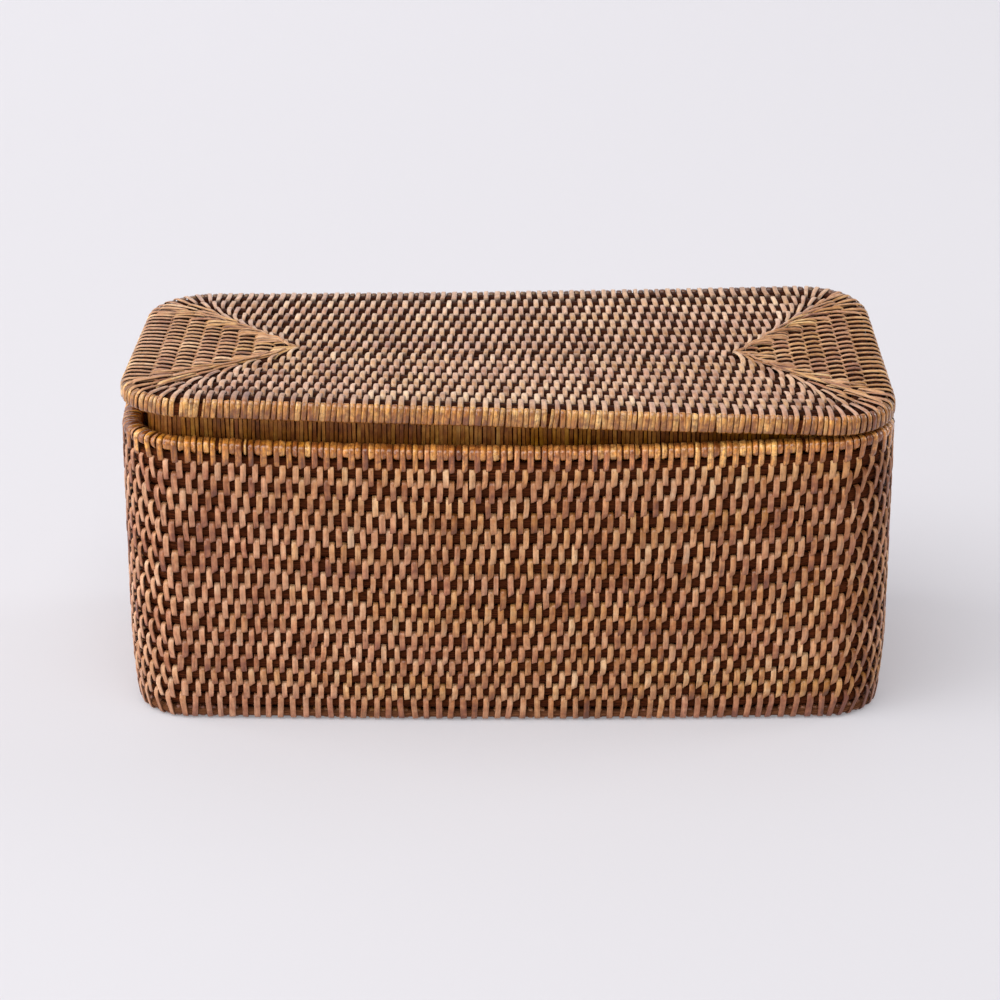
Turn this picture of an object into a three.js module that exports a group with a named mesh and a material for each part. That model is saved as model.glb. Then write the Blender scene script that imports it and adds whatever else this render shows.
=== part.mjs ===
// Coiled cane box with a lift-off lid.
//
// Millimetres, +Z up, +X along the box, -Y is the long face seen from the front.
// The origin is on the ground under the middle of the box.
//
// The box is coil work: round cane rods are laid one on another as courses and
// lashed together with split cane. Every course is its own closed hoop here, at
// the size it has with its lashing on. The floor and the lid are flat coils laid
// round a straight spine rod, with mitred corners. Both rims are a rod inside a
// close binding, and the lid has a bound lath under it as a collar.

import * as THREE from 'three';
import { mergeVertices } from 'three/addons/utils/BufferGeometryUtils.js';

// ---------------------------------------------------------------- dimensions

const GAP = 0.3;               // clearance between neighbouring pieces

// base
const BASE_HALF_X = 172.5;     // half length over the wall
const BASE_HALF_Y = 74.0;      // half depth over the wall at the ends
const BASE_CORNER_R = 27.0;    // plan radius of the upright corners
const BASE_HEIGHT = 140.1;     // top of the rim over the corners
const BASE_RIM_HEIGHT = 8.2;
const BASE_RIM_DEPTH = 8.8;    // from the outer face inwards
const WALL_COURSES = 18;
const WALL_THICKNESS = 7.2;    // a lashed rod, outside to inside
const COURSE_PITCH_LOW = 6.7;  // courses are closer at the foot
const FOOT_INSET = 2.8;        // how far the foot turns in
const FOOT_HEIGHT = 38.0;      // where the turn-in begins
const FLOOR_THICKNESS = 7.2;

// hand-made shape of the base
const BASE_BOW_LOW = 3.2;      // long sides bow out at the foot
const BASE_BOW_HIGH = 3.4;     // and a little more at the rim
const BASE_BOW_SPAN = 160.0;
const BASE_END_BOW = 0.8;
const RIM_SAG = 4.15;          // the rim and the courses dip along the long sides
const SAG_POWER = 3.2;         // how soon the dip grows above the floor
const RIM_SAG_SPAN = 158.0;
const BASE_TILT = 0.0086;      // back stands higher than the front

// lid
const LID_HALF_X = 171.2;
const LID_HALF_Y = 75.0;
const LID_CORNER_R_FRONT = 31.0;
const LID_CORNER_R_BACK = 31.0;
const LID_RIM_HEIGHT = 9.5;
const LID_RIM_DEPTH = 3.6;
const LID_THICKNESS = 7.8;
const LID_COILS = 8;
const COIL_CORNER_R = 1.6;     // the inner coils are mitred nearly square
const COIL_CORNER_POWER = 2.2; // and round off towards the edge
const LID_SPINE_X0 = -96.0;    // ends of the spine rod's straight part
const LID_SPINE_X1 = 103.5;
const LID_SPINE_Y = -5.0;
const SPINE_HALF = 4.2;
const LID_TOP = { fl: 159.4, fr: 148.7, bl: 154.4, br: 159.2 };  // corner heights of the warped lid
const LID_BOW = 1.0;
const LID_SAG = 1.4;           // the back edge dips in the middle
const LID_TAPER = 0.018;       // and is a little shorter than the front

// collar under the lid
const COLLAR_INSET = 11.5;
const COLLAR_THICKNESS = 4.4;
const COLLAR_DEPTH = 23.0;
const COLLAR_SKIN = 1.1;

// floor coil
const FLOOR_COILS = 7;

// skin of the rim bindings
const SKIN = 1.3;

// ---------------------------------------------------------------- materials

const cane = (color, roughness) => new THREE.MeshStandardMaterial({ color, roughness, metalness: 0 });
const wallCane = () => cane(0xa9714a, 0.48);
const lidCane = () => cane(0xb58a66, 0.52);
const floorCane = () => cane(0x96643f, 0.55);
const rimCane = () => cane(0xc08a4c, 0.4);
const rodCane = () => cane(0x4a2c1d, 0.6);
const collarCane = () => cane(0x8a6a3c, 0.5);

// ---------------------------------------------------------------- outlines

const ARC_STEPS = 3;           // segments in each plan corner

// Rounded rectangle as a list of points, anticlockwise. The front and back
// edges carry three points between the corners, the ends one, so that bent and
// twisted hoops stay smooth and neighbours bend alike.
function outline({ x0, x1, y0, y1, rFront, rBack }) {
  const pts = [];
  const corner = (cx, cy, r, a0) => {
    for (let i = 0; i <= ARC_STEPS; i++) {
      const a = a0 + (Math.PI / 2) * (i / ARC_STEPS);
      pts.push(new THREE.Vector2(cx + r * Math.cos(a), cy + r * Math.sin(a)));
    }
  };
  const between = (a, b, n) => {
    for (let i = 1; i <= n; i++) pts.push(new THREE.Vector2().lerpVectors(a, b, i / (n + 1)));
  };
  const last = () => pts[pts.length - 1].clone();
  corner(x1 - rBack, y1 - rBack, rBack, 0);
  between(last(), new THREE.Vector2(x0 + rBack, y1), 3);
  corner(x0 + rBack, y1 - rBack, rBack, Math.PI / 2);
  between(last(), new THREE.Vector2(x0, y0 + rFront), 1);
  corner(x0 + rFront, y0 + rFront, rFront, Math.PI);
  between(last(), new THREE.Vector2(x1 - rFront, y0), 3);
  corner(x1 - rFront, y0 + rFront, rFront, 1.5 * Math.PI);
  between(last(), new THREE.Vector2(x1, y1 - rBack), 1);
  return pts;
}

const inset = (o, d) => ({
  x0: o.x0 + d, x1: o.x1 - d, y0: o.y0 + d, y1: o.y1 - d,
  rFront: Math.max(o.rFront - d, 1), rBack: Math.max(o.rBack - d, 1),
});

const mix = (a, b, t) => {
  const o = {};
  for (const k of Object.keys(a)) o[k] = a[k] + (b[k] - a[k]) * t;
  return o;
};

const BASE_OUTLINE = {
  x0: -BASE_HALF_X, x1: BASE_HALF_X, y0: -BASE_HALF_Y, y1: BASE_HALF_Y,
  rFront: BASE_CORNER_R, rBack: BASE_CORNER_R,
};
const LID_OUTLINE = {
  x0: -LID_HALF_X, x1: LID_HALF_X, y0: -LID_HALF_Y, y1: LID_HALF_Y,
  rFront: LID_CORNER_R_FRONT, rBack: LID_CORNER_R_BACK,
};

// ---------------------------------------------------------------- hand-made shape

const hump = (v, span) => Math.max(0, 1 - (v / span) ** 2);

function shapeBase(p) {
  const up = p.z / BASE_HEIGHT;
  const bow = BASE_BOW_LOW + (BASE_BOW_HIGH - BASE_BOW_LOW) * up;
  const x = p.x + BASE_END_BOW * hump(p.y, 60) * (p.x / BASE_HALF_X);
  const y = p.y + bow * hump(p.x, BASE_BOW_SPAN) * (p.y / BASE_HALF_Y);
  const dip = RIM_SAG * (1 - Math.max(0, 1 - up) ** SAG_POWER);
  const z = p.z * (1 + BASE_TILT * (p.y / BASE_HALF_Y)) - dip * hump(p.x, RIM_SAG_SPAN);
  p.set(x, y, z);
}

function shapeLid(p) {
  const s = (p.x / LID_HALF_X + 1) / 2;
  const t = (p.y / LID_HALF_Y + 1) / 2;
  const top = (1 - t) * ((1 - s) * LID_TOP.fl + s * LID_TOP.fr) + t * ((1 - s) * LID_TOP.bl + s * LID_TOP.br);
  const x = p.x * (1 - LID_TAPER * (p.y / LID_HALF_Y));
  const y = p.y + LID_BOW * hump(p.x, BASE_BOW_SPAN) * (p.y / LID_HALF_Y);
  p.set(x, y, p.z + top - LID_SAG * t * hump(p.x, BASE_BOW_SPAN));
}

// ---------------------------------------------------------------- solids

// Closed hoop. `section` goes once round the hoop's cross-section as pairs of
// an outline and a height; a turned ring is made from as many points and each
// of its stations is then moved onto those outlines.
function hoop(section) {
  const rings = section.map(([o]) => outline(o));
  const stations = rings[0].length;
  const n = section.length;
  const profile = section.map((s, j) => new THREE.Vector2(100 + 10 * Math.cos((2 * Math.PI * j) / n), 10 * Math.sin((2 * Math.PI * j) / n)));
  profile.push(profile[0].clone());
  const g = new THREE.LatheGeometry(profile, stations);
  const pos = g.attributes.position;
  for (let i = 0; i <= stations; i++) {
    for (let j = 0; j <= n; j++) {
      const q = rings[j % n][i % stations];
      pos.setXYZ(i * (n + 1) + j, q.x, q.y, section[j % n][1]);
    }
  }
  g.deleteAttribute('normal');
  g.deleteAttribute('uv');
  return mergeVertices(g, 1e-4);
}

// Eight-sided section between two insets of one outline.
const octagon = (o, d0, d1, z0, z1, c) => [
  [inset(o, d0 + c), z0], [inset(o, d0), z0 + c], [inset(o, d0), z1 - c], [inset(o, d0 + c), z1],
  [inset(o, d1 - c), z1], [inset(o, d1), z1 - c], [inset(o, d1), z0 + c], [inset(o, d1 - c), z0],
];

// Four-sided section between two outlines.
const slab = (out, inn, z0, z1) => [[out, z0], [out, z1], [inn, z1], [inn, z0]];

// Straight rod with round ends.
function rod(o, z0, z1) {
  const g = new THREE.ExtrudeGeometry(new THREE.Shape(outline(o)), { depth: z1 - z0, steps: 1, bevelEnabled: false });
  g.translate(0, 0, z0);
  g.deleteAttribute('normal');
  g.deleteAttribute('uv');
  return mergeVertices(g, 1e-4);
}

const box = new THREE.Group();
const base = new THREE.Group();
const lid = new THREE.Group();
box.add(base, lid);

function add(group, name, geometry, material, shapeBy) {
  const pos = geometry.attributes.position;
  const p = new THREE.Vector3();
  for (let i = 0; i < pos.count; i++) {
    p.fromBufferAttribute(pos, i);
    shapeBy(p);
    pos.setXYZ(i, p.x, p.y, p.z);
  }
  geometry.computeVertexNormals();
  const mesh = new THREE.Mesh(geometry, material);
  mesh.name = name;
  group.add(mesh);
}

// ---------------------------------------------------------------- base

const wallTop = BASE_HEIGHT - BASE_RIM_HEIGHT;
const pitchStep = (2 * (wallTop / WALL_COURSES - COURSE_PITCH_LOW)) / (WALL_COURSES - 1);
const footInset = (z) => FOOT_INSET * Math.max(0, 1 - z / FOOT_HEIGHT) ** 1.6;

let z = 0;
let firstCourse = null;
for (let i = 0; i < WALL_COURSES; i++) {
  const pitch = COURSE_PITCH_LOW + pitchStep * i;
  const face = inset(BASE_OUTLINE, footInset(z + pitch / 2));
  const back = inset(face, WALL_THICKNESS);
  if (!firstCourse) firstCourse = back;
  const name = `wall_course_${String(i + 1).padStart(2, '0')}`;
  add(base, name, hoop(octagon(face, 0, WALL_THICKNESS, z, z + pitch - GAP, 1.9)), wallCane(), shapeBase);
  z += pitch;
}

// floor: a spine rod and the coils round it, out to the lowest course
const floorEdge = inset(firstCourse, GAP / 2);
const floorSpineX = floorEdge.x1 - floorEdge.y1 + SPINE_HALF;
const floorSpine = { x0: -floorSpineX, x1: floorSpineX, y0: -SPINE_HALF, y1: SPINE_HALF, rFront: SPINE_HALF - 0.2, rBack: SPINE_HALF - 0.2 };
add(base, 'floor_spine', rod(inset(floorSpine, GAP / 2), 0, FLOOR_THICKNESS), floorCane(), shapeBase);
for (let k = 1; k <= FLOOR_COILS; k++) {
  const out = inset(mix(floorSpine, floorEdge, k / FLOOR_COILS), GAP / 2);
  const inn = inset(mix(floorSpine, floorEdge, (k - 1) / FLOOR_COILS), -GAP / 2);
  add(base, `floor_coil_${k}`, hoop(slab(out, inn, 0, FLOOR_THICKNESS)), floorCane(), shapeBase);
}

// rim: a rod under a binding that is open below
const rimFoot = wallTop;
add(base, 'base_rim_rod',
  hoop(octagon(BASE_OUTLINE, SKIN + GAP, BASE_RIM_DEPTH - SKIN - GAP, rimFoot, BASE_HEIGHT - SKIN - GAP, 1.2)),
  rodCane(), shapeBase);
const rimIn = (d) => inset(BASE_OUTLINE, d);
add(base, 'base_rim_binding', hoop([
  [rimIn(0), rimFoot], [rimIn(0), BASE_HEIGHT - 1.8], [rimIn(1.8), BASE_HEIGHT],
  [rimIn(BASE_RIM_DEPTH - 1.8), BASE_HEIGHT], [rimIn(BASE_RIM_DEPTH), BASE_HEIGHT - 1.8], [rimIn(BASE_RIM_DEPTH), rimFoot],
  [rimIn(BASE_RIM_DEPTH - SKIN), rimFoot], [rimIn(BASE_RIM_DEPTH - SKIN), BASE_HEIGHT - SKIN],
  [rimIn(SKIN), BASE_HEIGHT - SKIN], [rimIn(SKIN), rimFoot],
]), rimCane(), shapeBase);

// ---------------------------------------------------------------- lid
// Heights here count down from the lid's top face.

const lidEdge = inset(LID_OUTLINE, LID_RIM_DEPTH + GAP / 2);
const lidSpine = {
  x0: LID_SPINE_X0 - SPINE_HALF, x1: LID_SPINE_X1 + SPINE_HALF,
  y0: LID_SPINE_Y - SPINE_HALF, y1: LID_SPINE_Y + SPINE_HALF,
  rFront: SPINE_HALF - 0.2, rBack: SPINE_HALF - 0.2,
};
add(lid, 'lid_spine', rod(inset(lidSpine, GAP / 2), -LID_THICKNESS, 0), lidCane(), shapeLid);
function coilOutline(t) {
  const o = mix(lidSpine, lidEdge, t);
  if (t > 0) {
    for (const r of ['rFront', 'rBack']) o[r] = COIL_CORNER_R + (lidEdge[r] - COIL_CORNER_R) * t ** COIL_CORNER_POWER;
  }
  return o;
}
for (let k = 1; k <= LID_COILS; k++) {
  const out = inset(coilOutline(k / LID_COILS), GAP / 2);
  const inn = inset(coilOutline((k - 1) / LID_COILS), -GAP / 2);
  add(lid, `lid_coil_${k}`, hoop(slab(out, inn, -LID_THICKNESS, 0)), lidCane(), shapeLid);
}

// rim: a rod in a binding that is open towards the coils
const lidIn = (d) => inset(LID_OUTLINE, d);
add(lid, 'lid_rim_rod',
  hoop(octagon(LID_OUTLINE, SKIN + GAP, LID_RIM_DEPTH - GAP, -LID_RIM_HEIGHT + SKIN + GAP, -SKIN - GAP, 0.5)),
  rodCane(), shapeLid);
add(lid, 'lid_rim_binding', hoop([
  [lidIn(LID_RIM_DEPTH), -LID_RIM_HEIGHT], [lidIn(1.8), -LID_RIM_HEIGHT], [lidIn(0), -LID_RIM_HEIGHT + 1.8],
  [lidIn(0), -1.8], [lidIn(1.8), 0], [lidIn(LID_RIM_DEPTH), 0],
  [lidIn(LID_RIM_DEPTH), -SKIN], [lidIn(SKIN), -SKIN],
  [lidIn(SKIN), -LID_RIM_HEIGHT + SKIN], [lidIn(LID_RIM_DEPTH), -LID_RIM_HEIGHT + SKIN],
]), rimCane(), shapeLid);

// collar: a lath in a binding that is open above
const collarIn = (d) => inset(LID_OUTLINE, COLLAR_INSET + d);
const collarTop = -LID_THICKNESS - GAP;
const collarFoot = collarTop - COLLAR_DEPTH;
add(lid, 'collar_lath', hoop(slab(
  collarIn(COLLAR_SKIN + GAP), collarIn(COLLAR_THICKNESS - COLLAR_SKIN - GAP),
  collarFoot + COLLAR_SKIN + GAP, collarTop)), rodCane(), shapeLid);
add(lid, 'collar_binding', hoop([
  [collarIn(0), collarFoot], [collarIn(0), collarTop], [collarIn(COLLAR_SKIN), collarTop],
  [collarIn(COLLAR_SKIN), collarFoot + COLLAR_SKIN],
  [collarIn(COLLAR_THICKNESS - COLLAR_SKIN), collarFoot + COLLAR_SKIN],
  [collarIn(COLLAR_THICKNESS - COLLAR_SKIN), collarTop], [collarIn(COLLAR_THICKNESS), collarTop],
  [collarIn(COLLAR_THICKNESS), collarFoot],
]), collarCane(), shapeLid);

export default box;
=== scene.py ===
# Coiled cane box with a lift-off lid: the lashing, rods, bindings and their finish.
#
# Every course of the walls, floor and lid is a dark round rod with split cane
# strips wrapped over it. Each strip crosses its own rod and dives into the rod
# of the course before it, and the courses are staggered by half a pitch.
# Lengths are in millimetres until a mesh is written, then in metres.

import math

import bpy
import numpy as np
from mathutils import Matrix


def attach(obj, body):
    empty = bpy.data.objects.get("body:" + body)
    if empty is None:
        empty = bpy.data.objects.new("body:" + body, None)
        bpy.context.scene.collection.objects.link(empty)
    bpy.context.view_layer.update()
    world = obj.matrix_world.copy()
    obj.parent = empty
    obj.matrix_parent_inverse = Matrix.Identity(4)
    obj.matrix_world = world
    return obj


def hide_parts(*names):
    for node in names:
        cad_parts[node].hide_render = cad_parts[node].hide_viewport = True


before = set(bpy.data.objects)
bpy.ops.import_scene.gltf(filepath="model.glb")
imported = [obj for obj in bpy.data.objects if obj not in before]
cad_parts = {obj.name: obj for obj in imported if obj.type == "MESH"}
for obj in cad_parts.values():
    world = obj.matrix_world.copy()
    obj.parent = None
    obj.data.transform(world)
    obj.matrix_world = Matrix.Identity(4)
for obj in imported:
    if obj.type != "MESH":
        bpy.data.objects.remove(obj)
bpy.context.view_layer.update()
RNG = np.random.default_rng(20417)

# ------------------------------------------------------------------ dimensions

BASE_HALF_X, BASE_HALF_Y, BASE_R = 172.5, 74.0, 27.0
BASE_HEIGHT, BASE_RIM_HEIGHT, BASE_RIM_DEPTH = 140.1, 8.2, 8.8
COURSES, WALL_T, PITCH_LOW = 18, 7.2, 6.7
FOOT_INSET, FOOT_HEIGHT, FLOOR_T = 2.8, 38.0, 7.2
BOW_LOW, BOW_HIGH, BOW_SPAN, END_BOW = 3.2, 3.4, 160.0, 0.8
RIM_SAG, RIM_SAG_SPAN, SAG_POWER, BASE_TILT = 4.15, 158.0, 3.2, 0.0086

LID_HALF_X, LID_HALF_Y, LID_RF, LID_RB = 171.2, 75.0, 31.0, 31.0
LID_RIM_HEIGHT, LID_RIM_DEPTH, LID_T, LID_COILS = 9.5, 3.6, 7.8, 8
COIL_R, COIL_POWER = 1.6, 2.2
FLOOR_COILS = 7
SPINE_X0, SPINE_X1, SPINE_Y, SPINE_HALF = -96.0, 103.5, -5.0, 4.2
LID_FL, LID_FR, LID_BL, LID_BR = 159.4, 148.7, 154.4, 159.2
LID_BOW, LID_TAPER, LID_SAG = 1.0, 0.018, 1.4
COLLAR_INSET, COLLAR_T, COLLAR_DEPTH = 11.5, 4.4, 23.0
GAP = 0.3
RIM_BREAKS = (-130.0, -116.4, 129.8)            # wraps worn thin on the base rim, front
LID_RIM_BREAKS = (-145.0, -130.0, 17.8, 128.3)  # and on the lid rim

STRIP_T = 0.62          # thickness of the split cane
FLAT_T = 0.5            # thinner on the lid and floor
WALL_STRIP, WALL_STITCHES = 2.7, 162
LID_STRIP, LID_PITCH_X, LID_PITCH_Y = 2.5, 5.18, 4.9
DRIFT_WALL, DRIFT_LID = 0.07, 0.13   # stitches step aside from course to course, in pitches
COLLAR_STRIP, COLLAR_PITCH = 1.68, 1.9
SQUARE = 0.5            # rods are a little square under their strips
ROD_DEEP = 0.75         # how far the bare rod lies behind its strips
FLAT_DEEP = 0.08

# ------------------------------------------------------------------ outlines


def rect(x0, x1, y0, y1, rf, rb):
    return np.array([x0, x1, y0, y1, rf, rb], float)


def inset(o, d):
    return rect(o[0] + d, o[1] - d, o[2] + d, o[3] - d, max(o[4] - d, 0.4), max(o[5] - d, 0.4))


BASE_OUT = rect(-BASE_HALF_X, BASE_HALF_X, -BASE_HALF_Y, BASE_HALF_Y, BASE_R, BASE_R)
LID_OUT = rect(-LID_HALF_X, LID_HALF_X, -LID_HALF_Y, LID_HALF_Y, LID_RF, LID_RB)


def hump(v, span):
    return np.maximum(0.0, 1 - (v / span) ** 2)


def shape_base(p):
    x, y, z = p[..., 0], p[..., 1], p[..., 2]
    up = z / BASE_HEIGHT
    bow = BOW_LOW + (BOW_HIGH - BOW_LOW) * up
    nx = x + END_BOW * hump(y, 60) * (x / BASE_HALF_X)
    ny = y + bow * hump(x, BOW_SPAN) * (y / BASE_HALF_Y)
    dip = RIM_SAG * (1 - np.maximum(0.0, 1 - up) ** SAG_POWER)
    nz = z * (1 + BASE_TILT * (y / BASE_HALF_Y)) - dip * hump(x, RIM_SAG_SPAN)
    # the courses wander a little by hand
    wander = 0.55 * np.sin((x + 1.6 * y) / 19 + 1.1 * np.sin(z / 11)) * np.sin(np.pi * np.clip(z / 130, 0, 1))
    return np.stack([nx, ny, nz + wander], -1)


def shape_lid(p):
    x, y, z = p[..., 0], p[..., 1], p[..., 2]
    s = (x / LID_HALF_X + 1) / 2
    t = (y / LID_HALF_Y + 1) / 2
    top = (1 - t) * ((1 - s) * LID_FL + s * LID_FR) + t * ((1 - s) * LID_BL + s * LID_BR)
    nx = x * (1 - LID_TAPER * (y / LID_HALF_Y))
    ny = y + LID_BOW * hump(x, BOW_SPAN) * (y / LID_HALF_Y)
    ny = ny + 0.9 * np.sin(x / 23 + 0.8 * np.sin(y / 9)) * hump(y, 68) * hump(x, 150)
    return np.stack([nx, ny, z + top - LID_SAG * t * hump(x, BOW_SPAN)], -1)


def off_outline(o, p):
    """Signed distance of points (N, 2) from an outline, positive outside."""
    x0, x1, y0, y1, rf, rb = o
    r = np.where(p[:, 1] > (y0 + y1) / 2, rb, rf)
    qx = np.abs(p[:, 0] - (x0 + x1) / 2) - (x1 - x0) / 2 + r
    qy = np.abs(p[:, 1] - (y0 + y1) / 2) - (y1 - y0) / 2 + r
    return np.hypot(np.maximum(qx, 0), np.maximum(qy, 0)) + np.minimum(np.maximum(qx, qy), 0) - r


class Track:
    """Closed rounded rectangle by arc length, anticlockwise from the middle of the back edge."""

    def __init__(self, o, step=0.4):
        x0, x1, y0, y1, rf, rb = o
        pts, nrm = [], []

        def line(a, b, n):
            m = max(2, int(math.hypot(b[0] - a[0], b[1] - a[1]) / step))
            for i in range(m):
                t = i / m
                pts.append((a[0] + (b[0] - a[0]) * t, a[1] + (b[1] - a[1]) * t))
                nrm.append(n)

        def arc(cx, cy, r, a0):
            m = max(6, int(r * math.pi / 2 / step))
            for i in range(m):
                a = math.radians(a0) + math.pi / 2 * i / m
                pts.append((cx + r * math.cos(a), cy + r * math.sin(a)))
                nrm.append((math.cos(a), math.sin(a)))

        line((0.0, y1), (x0 + rb, y1), (0, 1))
        arc(x0 + rb, y1 - rb, rb, 90)
        line((x0, y1 - rb), (x0, y0 + rf), (-1, 0))
        arc(x0 + rf, y0 + rf, rf, 180)
        line((x0 + rf, y0), (x1 - rf, y0), (0, -1))
        arc(x1 - rf, y0 + rf, rf, 270)
        line((x1, y0 + rf), (x1, y1 - rb), (1, 0))
        arc(x1 - rb, y1 - rb, rb, 0)
        line((x1 - rb, y1), (0.0, y1), (0, 1))
        p = np.array(pts + [pts[0]])
        n = np.array(nrm + [nrm[0]], float)
        self.cum = np.concatenate([[0], np.cumsum(np.hypot(*np.diff(p, axis=0).T))])
        self.length = self.cum[-1]
        self.p, self.n = p, n

    def at(self, s):
        s = np.mod(s, self.length)
        p = np.stack([np.interp(s, self.cum, self.p[:, k]) for k in (0, 1)], -1)
        n = np.stack([np.interp(s, self.cum, self.n[:, k]) for k in (0, 1)], -1)
        return p, n / np.linalg.norm(n, axis=-1, keepdims=True)

    def find(self, q):
        """Arc length of the track point nearest to each point (N, 2)."""
        d = ((q[:, None] - self.p[None, :-1]) ** 2).sum(-1)
        return self.cum[np.argmin(d, 1)]


class Fan:
    """A flat ring with the ring inside it. own(t) and inn(t) run together: square to the
    straight sides, and fanned out at the corners."""

    def __init__(self, own, inn, margin=0.6):
        self.sides = []
        x0, x1, y0, y1, rf, rb = own
        a0, a1, b0, b1, qf, qb = inn
        mx = min(margin, 0.9 * max(0.0, (a1 - a0) / 2 - max(qf, qb)))
        my = min(margin, 0.45 * max(0.0, (b1 - b0) - qf - qb))
        front = (a0 + qf + mx, a1 - qf - mx)
        back = (a0 + qb + mx, a1 - qb - mx)
        side = (b0 + qf + my, b1 - qb - my)
        if side[1] < side[0]:
            side = ((side[0] + side[1]) / 2,) * 2

        def corner(o, c, pin, pout):
            """Polyline from pin round corner c to pout, evenly spaced."""
            X0, X1, Y0, Y1, RF, RB = o
            cx, cy, r, ang = {
                "bl": (X0 + RB, Y1 - RB, RB, 90),
                "fl": (X0 + RF, Y0 + RF, RF, 180),
                "fr": (X1 - RF, Y0 + RF, RF, 270),
                "br": (X1 - RB, Y1 - RB, RB, 0),
            }[c]
            a = np.radians(np.linspace(ang, ang + 90, 25))
            q = np.concatenate([[pin], np.stack([cx + r * np.cos(a), cy + r * np.sin(a)], -1), [pout]])
            return self.even(q, 120)

        seq = []
        seq.append(("back", np.linspace((back[1], y1), (back[0], y1), 200), np.linspace((back[1], b1), (back[0], b1), 200)))
        seq.append(("fan", corner(own, "bl", (back[0], y1), (x0, side[1])), corner(inn, "bl", (back[0], b1), (a0, side[1]))))
        seq.append(("left", np.linspace((x0, side[1]), (x0, side[0]), 60), np.linspace((a0, side[1]), (a0, side[0]), 60)))
        seq.append(("fan", corner(own, "fl", (x0, side[0]), (front[0], y0)), corner(inn, "fl", (a0, side[0]), (front[0], b0))))
        seq.append(("front", np.linspace((front[0], y0), (front[1], y0), 200), np.linspace((front[0], b0), (front[1], b0), 200)))
        seq.append(("fan", corner(own, "fr", (front[1], y0), (x1, side[0])), corner(inn, "fr", (front[1], b0), (a1, side[0]))))
        seq.append(("right", np.linspace((x1, side[0]), (x1, side[1]), 60), np.linspace((a1, side[0]), (a1, side[1]), 60)))
        seq.append(("fan", corner(own, "br", (x1, side[1]), (back[1], y1)), corner(inn, "br", (a1, side[1]), (back[1], b1))))
        own_p = np.concatenate([s[1] for s in seq] + [seq[0][1][:1]])
        inn_p = np.concatenate([s[2] for s in seq] + [seq[0][2][:1]])
        d = np.hypot(*np.diff(own_p, axis=0).T)
        self.cum = np.concatenate([[0], np.cumsum(d)])
        self.length = self.cum[-1]
        self.own_p, self.inn_p = own_p, inn_p
        ends, k = [], 0
        for name, a, b in seq:
            ends.append((name, self.cum[k], self.cum[k + len(a) - 1], a[0], a[-1]))
            k += len(a)
        self.parts = ends

    @staticmethod
    def even(q, n):
        c = np.concatenate([[0], np.cumsum(np.hypot(*np.diff(q, axis=0).T))])
        t = np.linspace(0, c[-1], n)
        return np.stack([np.interp(t, c, q[:, 0]), np.interp(t, c, q[:, 1])], -1)

    def at(self, s):
        s = np.mod(s, self.length)
        c = self.cum + np.arange(len(self.cum)) * 1e-9
        own = np.stack([np.interp(s, c, self.own_p[:, k]) for k in (0, 1)], -1)
        inn = np.stack([np.interp(s, c, self.inn_p[:, k]) for k in (0, 1)], -1)
        return own, inn

    def places(self, k, px, py, pfan, drift):
        """Stitch positions: on fixed grids along the straight sides so that neighbouring
        rings stagger, and evenly spread round the corners between."""
        sides = []
        for name, s0, s1, a, b in self.parts:
            if name == "fan":
                continue
            axis, pitch = (0, px) if name in ("front", "back") else (1, py)
            lo, hi = sorted((a[axis], b[axis]))
            step = 0.5 * (k % 2) + k * drift * {"front": 1, "back": -1}.get(name, 0)
            k0 = math.ceil(lo / pitch - step)
            k1 = math.floor(hi / pitch - step)
            xs = (np.arange(k0, k1 + 1) + step) * pitch
            ss = s0 + np.abs(xs - a[axis])
            sides.append(np.sort(ss) if len(ss) else np.array([(s0 + s1) / 2]))
        out = []
        for i, ss in enumerate(sides):
            out.append(ss)
            nxt = sides[(i + 1) % 4][0] + (self.length if i == 3 else 0)
            room = nxt - ss[-1]
            n = max(0, int(round(room / pfan)) - 1)
            out.append(ss[-1] + room * (np.arange(n) + 1) / (n + 1))
        return np.concatenate(out)


# ------------------------------------------------------------------ mesh buffer

# across a strip: places in half widths, and heights in thicknesses
FLAT_SECTION = np.array([[-1.0, -0.98, -0.84, 0.84, 0.98, 1.0], [0.0, 0.66, 1.0, 1.0, 0.66, 0.0]])
ROUND_SECTION = np.array([[-1.0, -0.94, -0.6, 0.6, 0.94, 1.0], [0.0, 0.4, 0.95, 0.95, 0.4, 0.0]])


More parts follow.
